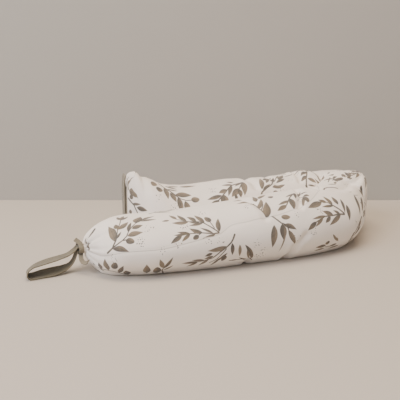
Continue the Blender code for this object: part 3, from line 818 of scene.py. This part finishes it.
@dataclass
class PrintedTube:
    """The stuffed tube of printed cotton, with its gathers, creases, seam and print."""

    form: TubeForm = field(default_factory=TubeForm)
    ring_step: float = 0.0020
    round_steps: int = 160
    end_length: float = 0.030  # where the rings stand closer, at either end
    lump: float = 0.0008  # how far the filling's lumps push the cloth
    lump_size: float = 0.045
    seam_dip: float = 0.0006
    seam_reach: float = 0.0028
    swell_share: float = 0.16  # how high the cloth swells beside a fold, as a share of its depth
    swell_away: float = 2.1  # how far from the fold, in its own half widths
    gathers: int = 15
    gather_depth: float = 0.0022
    gather_length: float = 0.030
    gather_spread: float = 0.022  # how much longer or shorter a gather may be
    contact_height: float = 0.0075  # below this the filling's weight lays the cloth on the table
    cap_inset: float = 0.0012
    laid_reach: float = 0.12  # how much of the tube is laid out flat for one motif
    flick_most: float = 0.75  # share of the places in a patch's middle that have a dot
    mark_margin: float = 5.0  # mm round a mark where its faces are looked for
    mark_swell: float = 1.36  # how much wider the ink ran than the leaves are drawn
    stem_swell: float = 1.75
    motif_reach: float = 95.0  # mm from a motif's foot that its marks may lie
    widest_face: float = 9.0  # mm, a face laid out wider than this is torn
    spare_columns: int = 10  # of the lattice of motifs where none is charted
    spare_rows: int = 4
    spare_step: float = 0.095
    spare_gap: float = 66.0  # mm from one motif's middle to the next at least

    @property
    def metres(self) -> float:
        """Metres round the tube for each radian."""
        return self.form.girth / math.tau

    def rings(self) -> np.ndarray:
        """Places of the rings along the tube, closer at its two ends."""
        neck = np.linspace(0, self.form.neck_length, 5)[:-1]
        dome = self.form.neck_length + self.end_length * np.linspace(0, 1, 24) ** 1.6
        end = self.form.length - self.end_length * np.linspace(1, 0, 28) ** 1.5
        count = round((end[0] - dome[-1]) / self.ring_step)
        return np.concatenate([neck, dome, np.linspace(dome[-1], end[0], count + 1)[1:-1], end])

    def press(self, along: np.ndarray, turns: np.ndarray, folds: tuple) -> np.ndarray:
        """How deep the folds press the cloth in.

        Args:
            along: metres along the tube, by grid point.
            turns: radians round it, by grid point.
            folds: the folds to press.

        Returns:
            Depths in metres, with a slight swelling beside each fold.
        """
        depth, swell = np.zeros((2, *along.shape))
        for fold in (Fold(*row) for row in folds):
            start = np.array([fold.along, math.radians(fold.round) * self.metres])
            line = np.array([fold.along_end, math.radians(fold.round_end) * self.metres]) - start
            for lap in (-1, 0, 1):
                here = np.stack([along, (turns + lap * math.tau) * self.metres], axis=-1) - start
                share = np.clip(here @ line / (line @ line), 0, 1)
                away = np.linalg.norm(here - share[..., None] * line, axis=-1)
                depth = np.maximum(depth, fold.depth * bump(away, fold.reach))
                beside = bump(away - self.swell_away * fold.reach, fold.reach)
                swell = np.maximum(swell, self.swell_share * fold.depth * beside)
        return depth - swell

    def gather_folds(self) -> tuple[Fold, ...]:
        """The gathers that fan out from the tie in two halves, uneven in length and lean."""
        made = []
        for i in range(self.gathers):
            wander = noise.noise(Vector((i * 1.7, 0.3, 0.0)))
            turn = (i + 0.55 * wander) * 360 / self.gathers
            out = self.gather_length + self.gather_spread * noise.noise(Vector((i * 2.3, 5.1, 0.0)))
            depth = self.gather_depth * (1 + 0.5 * wander)
            half = (0.005 + out * 0.45, turn + 4 * wander)
            made.append(Fold(0.0035, turn, *half, depth, 0.0052))
            made.append(Fold(*half, out + 0.006, turn + 7 * wander, depth * 0.5, 0.0048))
        return tuple(made)

    def seam_away(self, along: np.ndarray, turns: np.ndarray) -> np.ndarray:
        """Signed distance from the long seam, in metres, positive above it on the near leg."""
        way = np.array(LONG_SEAM)
        line = np.radians(hermite(way[:, 1:], way[:, 0], along[:, 0])[:, 0])
        turned = (turns - line[:, None] + math.pi) % math.tau - math.pi
        slope = np.gradient(line, along[:, 0]) * self.metres
        return turned * self.metres / np.sqrt(1 + slope**2)[:, None]

    def grid(self) -> ClothGrid:
        """The cloth with all its relief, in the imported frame.

        Returns:
            The grid of points and the lengths measured on it.
        """
        rings = self.rings()
        angles = np.arange(self.round_steps) * math.tau / self.round_steps
        points = self.form.surface(rings, angles) + self.form.shift
        along, turns = np.broadcast_arrays(rings[:, None], angles[None, :])
        sunk = self.press(along, turns, FOLDS) + self.press(along, turns, self.gather_folds())
        sunk += self.seam_dip * bump(self.seam_away(along, turns), self.seam_reach)
        lumps, small = (
            np.array([noise.noise(Vector(p) / size) for p in points.reshape(-1, 3)])
            for size in (self.lump_size, self.lump_size * 0.4)
        )
        ends = np.clip(rings / 0.02, 0, 1)
        ends *= np.clip((self.form.length - rings) / self.end_length, 0, 1)
        push = (lumps + 0.4 * small).reshape(along.shape) * self.lump * ends[:, None]
        points = points + (push - sunk)[..., None] * self.outward(points)
        share = np.clip(points[..., 2] / self.contact_height, 0, 1)
        points[..., 2] *= share * share * (3 - 2 * share)
        length_round = travelled(close_up(points, axis=1).swapaxes(0, 1)).T
        return ClothGrid(points, self.outward(points), rings, angles, travelled(points), length_round)

    def outward(self, points: np.ndarray) -> np.ndarray:
        """The outward direction at each point of the grid."""
        gone_round = np.roll(points, -1, axis=1) - np.roll(points, 1, axis=1)
        normals = np.cross(np.gradient(points, axis=0), gone_round)
        normals /= np.maximum(np.linalg.norm(normals, axis=2), 1e-12)[..., None]
        away = (normals * (points - points.mean(axis=1, keepdims=True))).sum(axis=(1, 2))
        return normals * np.sign(away)[:, None, None]

    def lay_out(self, cloth: ClothGrid, along: float, turn: float) -> np.ndarray:
        """Lays the cloth round one place out flat, by adding up its edges' true lengths and turns.

        Args:
            cloth: the grid.
            along: metres along the tube of the place.
            turn: degrees round it.

        Returns:
            Distances along the tube and round it by ring and corner, in mm. Corners have one column
            more than points. Only what lies near the place is right.
        """
        n = self.round_steps
        i = int(np.argmin(np.abs(cloth.along - along)))
        j = round(turn / 360 * n) % n
        first = max(int(np.searchsorted(cloth.along, along - self.laid_reach)), 0)
        last = min(int(np.searchsorted(cloth.along, along + self.laid_reach)) + 1, len(cloth.along))
        points, normals = (np.roll(f[first:last], n // 2 - j, axis=1) for f in (cloth.points, cloth.normals))
        row, column = i - first, n // 2
        up = normals[row, column]
        ahead = points[min(row + 2, len(points) - 1), column] - points[max(row - 2, 0), column]
        ahead = unit(ahead - ahead @ up * up)
        side = np.cross(up, ahead)

        def flat_edges(ways: np.ndarray, ups: np.ndarray) -> np.ndarray:
            """Turns each edge's plane on to the place's own and keeps the edge's length."""
            axis = np.cross(ups, up)
            share = 1 / np.maximum(1 + ups @ up, 0.15)[..., None]
            turned = ways + np.cross(axis, ways) + np.cross(axis, np.cross(axis, ways)) * share
            flat = np.stack([turned @ ahead, turned @ side], axis=-1)
            size = np.maximum(np.linalg.norm(flat, axis=-1, keepdims=True), 1e-9)
            return flat * np.linalg.norm(ways, axis=-1, keepdims=True) / size

        on = flat_edges(np.diff(points, axis=0), normals[1:] + normals[:-1])
        on = np.concatenate([np.zeros((1, n, 2)), np.cumsum(on, axis=0)])
        across = flat_edges(np.diff(points, axis=1), normals[:, 1:] + normals[:, :-1])
        across = np.concatenate([np.zeros((len(points), 1, 2)), np.cumsum(across, axis=1)], axis=1)
        on, across = on - on[row], across - across[:, column : column + 1]
        flat = np.roll((on + across[row] + across + on[:, column : column + 1]) / 2, j - n // 2, axis=1)
        made = np.full((2, len(cloth.along), n + 1), NOWHERE)
        made[:, first:last, :n] = np.moveaxis(flat, 2, 0) / MM
        made[:, :, n] = made[:, :, 0]
        return made

    def all_prints(self) -> list[Print]:
        """The charted motifs, and a half-drop lattice of others where none is charted."""
        lap = self.form.girth / MM

        def middle_of(spot: Print) -> np.ndarray:
            """Where a placed motif's middle lies, in mm along the tube and round it."""
            turn = math.radians(spot.turn)
            (x, y), cos, sin = spot.motif.middle, math.cos(turn), math.sin(turn)
            foot = np.array([spot.along / MM, spot.round * lap / 360])
            return foot + np.array([x * cos - y * sin, x * sin + y * cos])

        made = list(PRINTS)
        taken = [middle_of(spot) for spot in made]
        for column in range(self.spare_columns):
            for row in range(self.spare_rows):
                motif = SPARE[(column * 3 + row * 2) % len(SPARE)]
                turn = 40 * noise.noise(Vector((column * 1.3, row * 2.1, 0.5)))
                along, half_drop = 0.03 + self.spare_step * column, 45 * (column % 2)
                spot = Print(motif, along, (row * 90 + half_drop) % 360, turn)
                here = np.array([spot.along / MM, spot.round * lap / 360])
                shift = here - middle_of(spot)
                apart = np.array(taken) - here
                apart[:, 1] = (apart[:, 1] + lap / 2) % lap - lap / 2
                if np.linalg.norm(apart, axis=1).min() > self.spare_gap:
                    turned = (spot.round + shift[1] * 360 / lap) % 360
                    made.append(spot._replace(along=spot.along + shift[0] * MM, round=turned))
                    taken.append(here)
        return made

    def stamp(self, mark: Mark, cloth: tuple, held: tuple, seed: float) -> None:
        """Prints one mark on the faces that it touches, where it is nearer than the marks there.

        Args:
            mark: the mark.
            cloth: the faces near the motif, and their corners in its frame.
            held: by layer, each face's distance to its mark, and that mark's numbers.
            seed: sets how much paler or darker than usual the mark is.
        """
        faces, xs, ys = cloth
        gaps, data = held
        way = np.array([mark.x_end - mark.x, mark.y_end - mark.y], dtype=float)
        long = float(np.linalg.norm(way))
        way /= long
        half = mark.half * (self.stem_swell if mark.stroke is Stroke.STEM else self.mark_swell)
        reach = half + self.mark_margin + abs(mark.bow)
        close = (xs[:, 0] > min(mark.x, mark.x_end) - reach) & (xs[:, 0] < max(mark.x, mark.x_end) + reach)
        close &= (ys[:, 0] > min(mark.y, mark.y_end) - reach) & (ys[:, 0] < max(mark.y, mark.y_end) + reach)
        faces, xs, ys = faces[close], xs[close] - mark.x, ys[close] - mark.y
        s = xs * way[0] + ys * way[1]
        share = np.clip(s / long, 0, 1)
        q = ys * way[0] - xs * way[1] - 4 * mark.bow * share * (1 - share)
        span = np.maximum(np.ptp(s, axis=1), np.ptp(q, axis=1))
        mid_s, mid_q = s.mean(axis=1), q.mean(axis=1)
        gap = np.hypot(mid_s - np.clip(mid_s, 0, long), np.maximum(np.abs(mid_q) - half, 0))
        touched = gap < 0.75 * span + 0.3
        faces, new_gap = faces[touched], gap[touched]
        tone = mark.tone + 0.12 * noise.noise(Vector((seed, 0.3, 0.2)))
        numbers = np.tile([mark.stroke.value, long, half, tone], (len(faces), 1))
        new = np.concatenate([s[touched], q[touched], numbers], axis=1)
        for layer in range(len(gaps)):
            old, old_gap = data[layer][faces], gaps[layer][faces]
            swap = new_gap < old_gap
            data[layer][faces] = np.where(swap[:, None], new, old)
            gaps[layer][faces] = np.where(swap, new_gap, old_gap)
            new, new_gap = np.where(swap[:, None], old, new), np.where(swap, old_gap, new_gap)

    def print_motifs(self, mesh: Mesh, cloth: ClothGrid, layers: int) -> None:
        """Writes each mark's own frame on the faces that carry it.

        Args:
            mesh: the cushion's mesh, whose first faces are the grid's.
            cloth: the grid.
            layers: how many marks may share a face.
        """
        n, rows = self.round_steps, len(cloth.along)
        shape = (rows - 1, n)
        gaps = np.full((layers, (rows - 1) * n), NOWHERE)
        data = np.zeros((layers, (rows - 1) * n, 12))  # x and y by corner, power, length, half, tone
        data[..., 0:4] = -NOWHERE
        data[..., 9] = 1.0
        flick = np.zeros((rows, n))
        mid_along = (cloth.along[:-1] + cloth.along[1:])[:, None] / 2 + np.zeros(shape)
        mid_turn = (cloth.turns + math.pi / n)[None, :] + np.zeros(shape)
        seam_side = np.sign(self.seam_away(mid_along, mid_turn))
        for number, spot in enumerate(self.all_prints()):
            a, r = self.lay_out(cloth, spot.along, spot.round)
            turn = math.radians(spot.turn)
            x, y = a * math.cos(turn) + r * math.sin(turn), r * math.cos(turn) - a * math.sin(turn)
            for left, up, reach in spot.motif.flicks:
                near = 1 - np.hypot(x[:, :-1] - left, y[:, :-1] - up) / reach
                flick = np.maximum(flick, np.clip(near * 1.6, 0, self.flick_most))
            near = (np.hypot(x, y)[:-1, :-1] < self.motif_reach) & (seam_side * spot.side >= 0)
            near &= (mid_along > spot.low) & (mid_along < spot.high)
            xs, ys = corners(x)[near], corners(y)[near]
            whole = np.maximum(np.ptp(xs, axis=1), np.ptp(ys, axis=1)) < self.widest_face
            faces = (np.flatnonzero(near)[whole], xs[whole], ys[whole])
            for order, mark in enumerate(spot.motif.marks):
                self.stamp(Mark(*mark), faces, (gaps, data), 1.9 * number + 0.07 * order)
        for layer in range(layers):
            s, q, power = data[layer, :, 0:4], data[layer, :, 4:8], data[layer, :, 8:9]
            place = np.stack([s, q, power + np.zeros(s.shape)], axis=-1)
            store(mesh, f"mark_{layer}", place, -NOWHERE)
            form = np.repeat(data[layer, :, None, 9:12], 4, axis=1)
            store(mesh, f"mark_{layer}_form", form, -NOWHERE)
        store(mesh, "flick", flick, 0.0)

    def faces(self, rows: int) -> list[tuple[int, ...]]:
        """The grid's faces, outward, then the two end caps, as tuples of vertex numbers."""
        n = self.round_steps
        grid = np.arange(rows * n).reshape(rows, n)
        made = corners(close_up(grid, axis=1)).reshape(-1, 4).tolist()
        made += [(rows * n, (j + 1) % n, j) for j in range(n)]
        for j in range(-n // 4, n // 4):
            k = n // 2 - j
            ring = [(rows - 1) * n + q % n for q in (j, j + 1, k - 1, k)]
            made.append(tuple(dict.fromkeys(ring)))
        return made

    def build(self, finish: PrintedCotton) -> Object:
        """Builds the printed tube.

        Args:
            finish: the cloth's finish.

        Returns:
            The finished piece.
        """
        cloth = self.grid()
        middle = cloth.points[0].mean(axis=0)
        inset = middle + unit(cloth.points[4].mean(axis=0) - middle) * self.cap_inset
        points = np.concatenate([cloth.points.reshape(-1, 3), inset[None]])
        piece = new_piece("printed_tube", points, self.faces(len(cloth.along)), finish.make())
        mesh = piece.data
        lengths = (close_up(cloth.length_along, axis=1), cloth.length_round)
        places = np.stack([corners(grid).ravel() for grid in lengths], axis=1)
        caps = np.zeros((len(mesh.loops) - len(places), 2))
        map_faces(mesh, "cloth", np.concatenate([places, caps]))
        rings, turns = np.broadcast_arrays(cloth.along[:, None], cloth.turns[None, :])
        store(mesh, "seam_gap", self.seam_away(rings, turns) / MM, 99.0)
        self.print_motifs(mesh, cloth, finish.layers)
        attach(piece, "root")
        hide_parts("tube_cushion")
        report(piece)
        return piece


# ---- The tapes ------------------------------------------------------------------------------

# A tape's side view: metres out, height, and how far its far edge rises above the near one
HANGING_SIDE = (
    (0.0014, 0.0366, 0.0), (0.0060, 0.0362, 0.0), (0.0100, 0.0330, 0.0008), (0.0180, 0.0280, 0.0),
    (0.0340, 0.0242, 0.0), (0.0510, 0.0214, 0.0004), (0.0640, 0.0186, -0.0006), (0.0740, 0.0150, -0.0028),
    (0.0793, 0.0104, -0.0022), (0.0804, 0.0068, 0.0), (0.0780, 0.0034, 0.0026), (0.0710, 0.0029, 0.0040),
    (0.0590, 0.0040, 0.0064), (0.0430, 0.0051, 0.0072), (0.0265, 0.0080, 0.0056), (0.0172, 0.0122, 0.0015),
    (0.0118, 0.0185, 0.0), (0.0086, 0.0258, 0.0), (0.0064, 0.0298, 0.0), (0.0014, 0.0313, 0.0),
)
FAR_SIDE = (
    (0.0015, 0.1140, 0.0), (0.0029, 0.1095, 0.0), (0.0037, 0.1010, 0.0), (0.0038, 0.0700, 0.0),
    (0.0038, 0.0400, 0.0), (0.0038, 0.0290, 0.0), (0.0037, 0.0250, 0.0), (0.0027, 0.0230, 0.0),
    (0.0017, 0.0250, 0.0), (0.0016, 0.0290, 0.0), (0.0015, 0.0400, 0.0), (0.0015, 0.0700, 0.0),
    (0.0015, 0.1000, 0.0),
)
# The free ends of the tie, from the band's middle
STUB = ((0.0, -0.0072, 0.0050), (-0.0008, -0.0035, 0.0082), (-0.0032, 0.0, 0.0106), (-0.0062, 0.0030, 0.0130))
CURL = (
    (0.0, 0.0010, -0.0073), (-0.0004, -0.0045, -0.0080), (-0.0016, -0.0095, -0.0108),
    (-0.0021, -0.0133, -0.0133), (-0.0013, -0.0170, -0.0157), (0.0008, -0.0210, -0.0163),
    (0.0038, -0.0240, -0.0143), (0.0047, -0.0250, -0.0119),
)
# Half a tape's section, as shares of its half width and half thickness: thin selvedges, a flat side
UPPER = (
    (-1.0, 0.0), (-0.995, 0.55), (-0.96, 0.92), (-0.9, 1.0), (-0.86, 0.86), (-0.5, 0.90), (0.0, 0.92),
    (0.5, 0.90), (0.86, 0.86), (0.9, 1.0), (0.96, 0.92), (0.995, 0.55), (1.0, 0.0),
)


@dataclass
class Ribbon:
    """A strip of tape with rounded edges along a route."""

    route: np.ndarray  # the tape's middle, one row for each ring
    across: np.ndarray  # the direction of its width, for each ring or for all
    widths: np.ndarray | float
    thick: float
    closed: bool = False  # whether the route meets its own start

    @property
    def length(self) -> float:
        """Metres along the route."""
        return float(travelled(self.route)[-1])

    def build(self, name: str, material: Material) -> Object:
        """Builds the strip.

        Args:
            name: the piece's name.
            material: its finish.

        Returns:
            The piece, with a UV map in metres along and across the tape.
        """
        route, rings = self.route, len(self.route)
        if self.closed:
            heading = unit(np.roll(route, -1, axis=0) - np.roll(route, 1, axis=0))
        else:
            heading = unit(np.gradient(route, axis=0))
        across = unit(self.across - (self.across * heading).sum(axis=1)[:, None] * heading)
        lift = np.cross(heading, across)
        section = np.array([*UPPER, *((x, -y) for x, y in UPPER[-2:0:-1])])
        count = len(section)
        half = np.broadcast_to(self.widths, rings) / 2
        points = np.stack(
            [route + across * (half * x)[:, None] + lift * self.thick / 2 * y for x, y in section], axis=1
        )
        lengths = travelled(close_up(route, axis=0))
        faces, places = [], []
        for i in range(rings if self.closed else rings - 1):
            j = (i + 1) % rings
            for k in range(count):
                m = (k + 1) % count
                faces.append((i * count + k, j * count + k, j * count + m, i * count + m))
                for ring, place in ((i, k), (i + 1, k), (i + 1, m), (i, m)):
                    places.append((lengths[ring], section[place][0] * half[ring % rings]))
        if not self.closed:
            for ring, way in ((0, 1), (rings - 1, -1)):
                order = range(count)[::way]
                faces.append(tuple(ring * count + k for k in order))
                places += [(lengths[ring], section[k][0] * half[ring]) for k in order]
        piece = new_piece(name, points.reshape(-1, 3), faces, material)
        map_faces(piece.data, "tape", np.array(places))
        return piece


@dataclass
class HangingLoop:
    """The wide tape loop at the gathered end, lying out to the left."""

    neck: np.ndarray
    wide: float = 0.021
    thick: float = 0.0015
    turn: float = 3.0  # degrees away from the X axis
    skew: float = 13.0  # degrees of the fold at its far end
    tuck: float = 0.0115  # width where it is bunched under the tie
    spread: tuple[float, float] = (0.009, 0.040)  # from where to where it opens to its full width
    steps: int = 150

    def build(self, finish: WovenTape, tie: list[Object]) -> Object:
        """Builds the loop.

        Args:
            finish: the tape's finish.
            tie: the tie's pieces; not used. tie: the tie's pieces, too narrow to be
                sheets of their own.

        Returns:
            The finished piece.
        """
        out, height, rise = even_route(HANGING_SIDE, self.steps).T[..., None]
        turn = math.radians(self.turn)
        direction = np.array([-math.cos(turn), -math.sin(turn), 0])
        spread = np.interp(out, self.spread, [0, 1])
        across = np.cross(direction, UP) - direction * math.tan(math.radians(self.skew)) * spread
        widths = self.tuck + (self.wide - self.tuck) * spread[:, 0]
        route = self.neck + out * direction + height * UP
        strip = Ribbon(route, across + rise / self.wide * UP, widths, self.thick)
        piece, length = strip.build("hanging_tape", finish.make()), strip.length
        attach(piece, "root")
        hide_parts("hanging_loop")
        report(piece)
        return piece


@dataclass
class FarTape:
    """The wide tape folded in half that hangs down the flat end."""

    seam: np.ndarray
    wide: float = 0.021
    thick: float = 0.0015
    turn: float = 9.0  # degrees that its far edge swings towards the tube
    side_step: float = 0.0018  # from the seam's middle to its near edge
    steps: int = 130

    def build(self, finish: WovenTape) -> Object:
        """Builds the folded tape.

        Args:
            finish: the tape's finish.

        Returns:
            The finished piece.
        """
        out, height, _ = even_route(FAR_SIDE, self.steps).T[..., None]
        turn = math.radians(self.turn)
        width = np.array([math.sin(turn), math.cos(turn), 0])
        start = self.seam + width * (self.side_step + self.wide / 2)
        route = start + out * np.cross(UP, width) + height * UP
        strip = Ribbon(route, width, self.wide, self.thick)
        piece, length = strip.build("far_tape", finish.make()), strip.length
        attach(piece, "root")
        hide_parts("far_loop")
        report(piece)
        return piece


@dataclass
class EndTie:
    """The narrow tape tied round the neck, with a short end up and a curled end down."""

    form: TubeForm
    wide: float = 0.007
    thick: float = 0.0015
    gap: float = 0.0003
    band_steps: int = 72
    end_narrower: float = 0.0004

    def build(self, finish: WovenTape) -> list[Object]:
        """Builds the band and its two free ends.

        Args:
            finish: the tape's finish.

        Returns:
            The three pieces.
        """
        material = finish.make()
        low, top = self.form.neck_low, self.form.neck_top
        middle = self.form.foot(0) + np.array([-self.wide / 4, 0, (low + top) / 2])
        angles = np.arange(self.band_steps) * math.tau / self.band_steps
        over = self.gap + self.thick / 2
        wide, high = self.form.neck_half + over, (top - low) / 2 + over
        ring = np.column_stack([0 * angles, wide * np.cos(angles), high * np.sin(angles)]) + middle
        sideways = np.array([1.0, 0.0, 0.0])
        band = Ribbon(ring, sideways, self.wide, self.thick, closed=True).build("tie_band", material)
        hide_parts("end_tie")
        pieces = [band]
        for name, points, last in (
            ("tie_short_end", STUB, (0.78, 0.25, 0.45)),
            ("tie_curled_end", CURL, (0.62, 0.40, 0.68)),
        ):
            route = even_route(points, 9 * len(points)) + middle
            share = np.linspace(0, 1, len(route))[:, None]
            across = (1 - share) * sideways + share * np.array(last)
            strip = Ribbon(route, across, self.wide - self.end_narrower, self.thick)
            pieces.append(strip.build(name, material))
        for piece in pieces:
            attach(piece, "root")
            report(piece)
        return pieces


# ---- The studio -----------------------------------------------------------------------------


@dataclass
class Studio:
    """The pale floor, the backdrop, the soft light and the camera."""

    turn: float = 25.0  # degrees between the camera's heading and the legs' cross direction
    tilt: float = 13.97  # degrees that it looks down
    place: tuple[float, float, float] = (-0.5128, -1.0546, 0.371)
    lens: float = 70.56  # mm on a 36 mm sensor
    floor_colour: str = "c2bab0"
    wall_colour: str = "aeaaa3"
    sky_colour: str = "faf5f0"
    sky_strength: float = 0.10
    wall_away: float = 0.317  # m from the origin, along the camera's heading

    def board(self, name: str, size: float, centre: Vector, turns: tuple, colour: str) -> Look:
        """Adds one large matt plane for the stage.

        Args:
            name: its name.
            size: its side.
            centre: its middle.
            turns: its rotation in radians about X, Y and Z.
            colour: its sRGB hex colour.

        Returns:
            Its finish.
        """
        bpy.ops.mesh.primitive_plane_add(size=size, location=centre, rotation=turns)
        plane = bpy.context.object
        plane.name = name
        look = Look("matt_" + name, roughness=0.85, base_color=linear(colour))
        plane.data.materials.append(look.material)
        return look

    def softbox(self, name: str, place: tuple, size: float, power: float, colour: str) -> None:
        """Adds one large soft light that faces the origin.

        Args:
            name: its name.
            place: where it stands.
            size: its side.
            power: watts.
            colour: its sRGB hex colour.
        """
        data = bpy.data.lights.new(name, "AREA")
        data.energy, data.size = power, size
        data.color = linear(colour)[:3]
        lamp = bpy.data.objects.new(name, data)
        lamp.location = place
        lamp.rotation_euler = (-Vector(place)).to_track_quat("-Z", "Y").to_euler()
        bpy.context.scene.collection.objects.link(lamp)

    def build(self) -> None:
        """Builds the stage, the light and the camera."""
        scene = bpy.context.scene
        turn, tilt = math.radians(self.turn), math.radians(self.tilt)
        heading = Vector((math.sin(turn), math.cos(turn), 0))
        self.board("floor", 12, Vector((0, 0, 0)), (0, 0, 0), self.floor_colour)
        wall_place = heading * self.wall_away + Vector((0, 0, 2))
        wall = self.board("backdrop", 4, wall_place, (math.pi / 2, 0, -turn), self.wall_colour)
        # the backdrop is clear from behind, so that it never hides the object
        side = add_node(wall.tree, "ShaderNodeNewGeometry").outputs["Backfacing"]
        clear = add_node(wall.tree, "ShaderNodeBsdfTransparent").outputs[0]
        mixed = add_node(wall.tree, "ShaderNodeMixShader", {0: side, 1: wall.shader.outputs[0], 2: clear})
        wall.tree.links.new(mixed.outputs[0], wall.tree.nodes["Material Output"].inputs["Surface"])
        scene.world = bpy.data.worlds.new("soft_room")
        scene.world.use_nodes = True
        sky = scene.world.node_tree.nodes["Background"]
        sky.inputs[0].default_value, sky.inputs[1].default_value = linear(self.sky_colour), self.sky_strength
        self.softbox("window_softbox", (-2.2, -0.9, 1.9), 1.5, 56, "ecf3ff")
        self.softbox("top_softbox", (0.0, -0.2, 2.4), 1.8, 83, "ffe7cb")
        self.softbox("front_softbox", (-1.0, -2.0, 1.2), 1.4, 11, "f8f8ff")
        self.softbox("side_softbox", (-2.0, 0.3, 0.8), 1.0, 15, "fff5ee")
        data = bpy.data.cameras.new("camera")
        data.lens, data.sensor_width = self.lens, 36
        scene.camera = bpy.data.objects.new("camera", data)
        scene.camera.location = self.place
        look = heading * math.cos(tilt) - Vector((0, 0, math.sin(tilt)))
        scene.camera.rotation_euler = look.to_track_quat("-Z", "Y").to_euler()
        scene.collection.objects.link(scene.camera)
        LOG.info("camera %.0f mm, %.0f degrees down", self.lens, self.tilt)


def main() -> None:
    """Builds every piece in order."""
    logging.basicConfig(level=logging.INFO, format="%(message)s")
    Studio().build()
    tube = PrintedTube()
    LOG.info("tube %.3f m long, shifted %s", tube.form.length, tube.form.shift.round(5))
    tube.build(PrintedCotton())
    tie = EndTie(tube.form).build(WovenTape("cotton_tie_tape"))
    loop_finish = WovenTape("cotton_loop_tape", colour="665e48", light="7a715a", dark="4c4533")
    HangingLoop(tube.form.foot(0)).build(loop_finish, tie)
    FarTape(tube.form.foot(-1)).build(WovenTape("cotton_far_tape"))


if __name__ == "__main__":
    main()
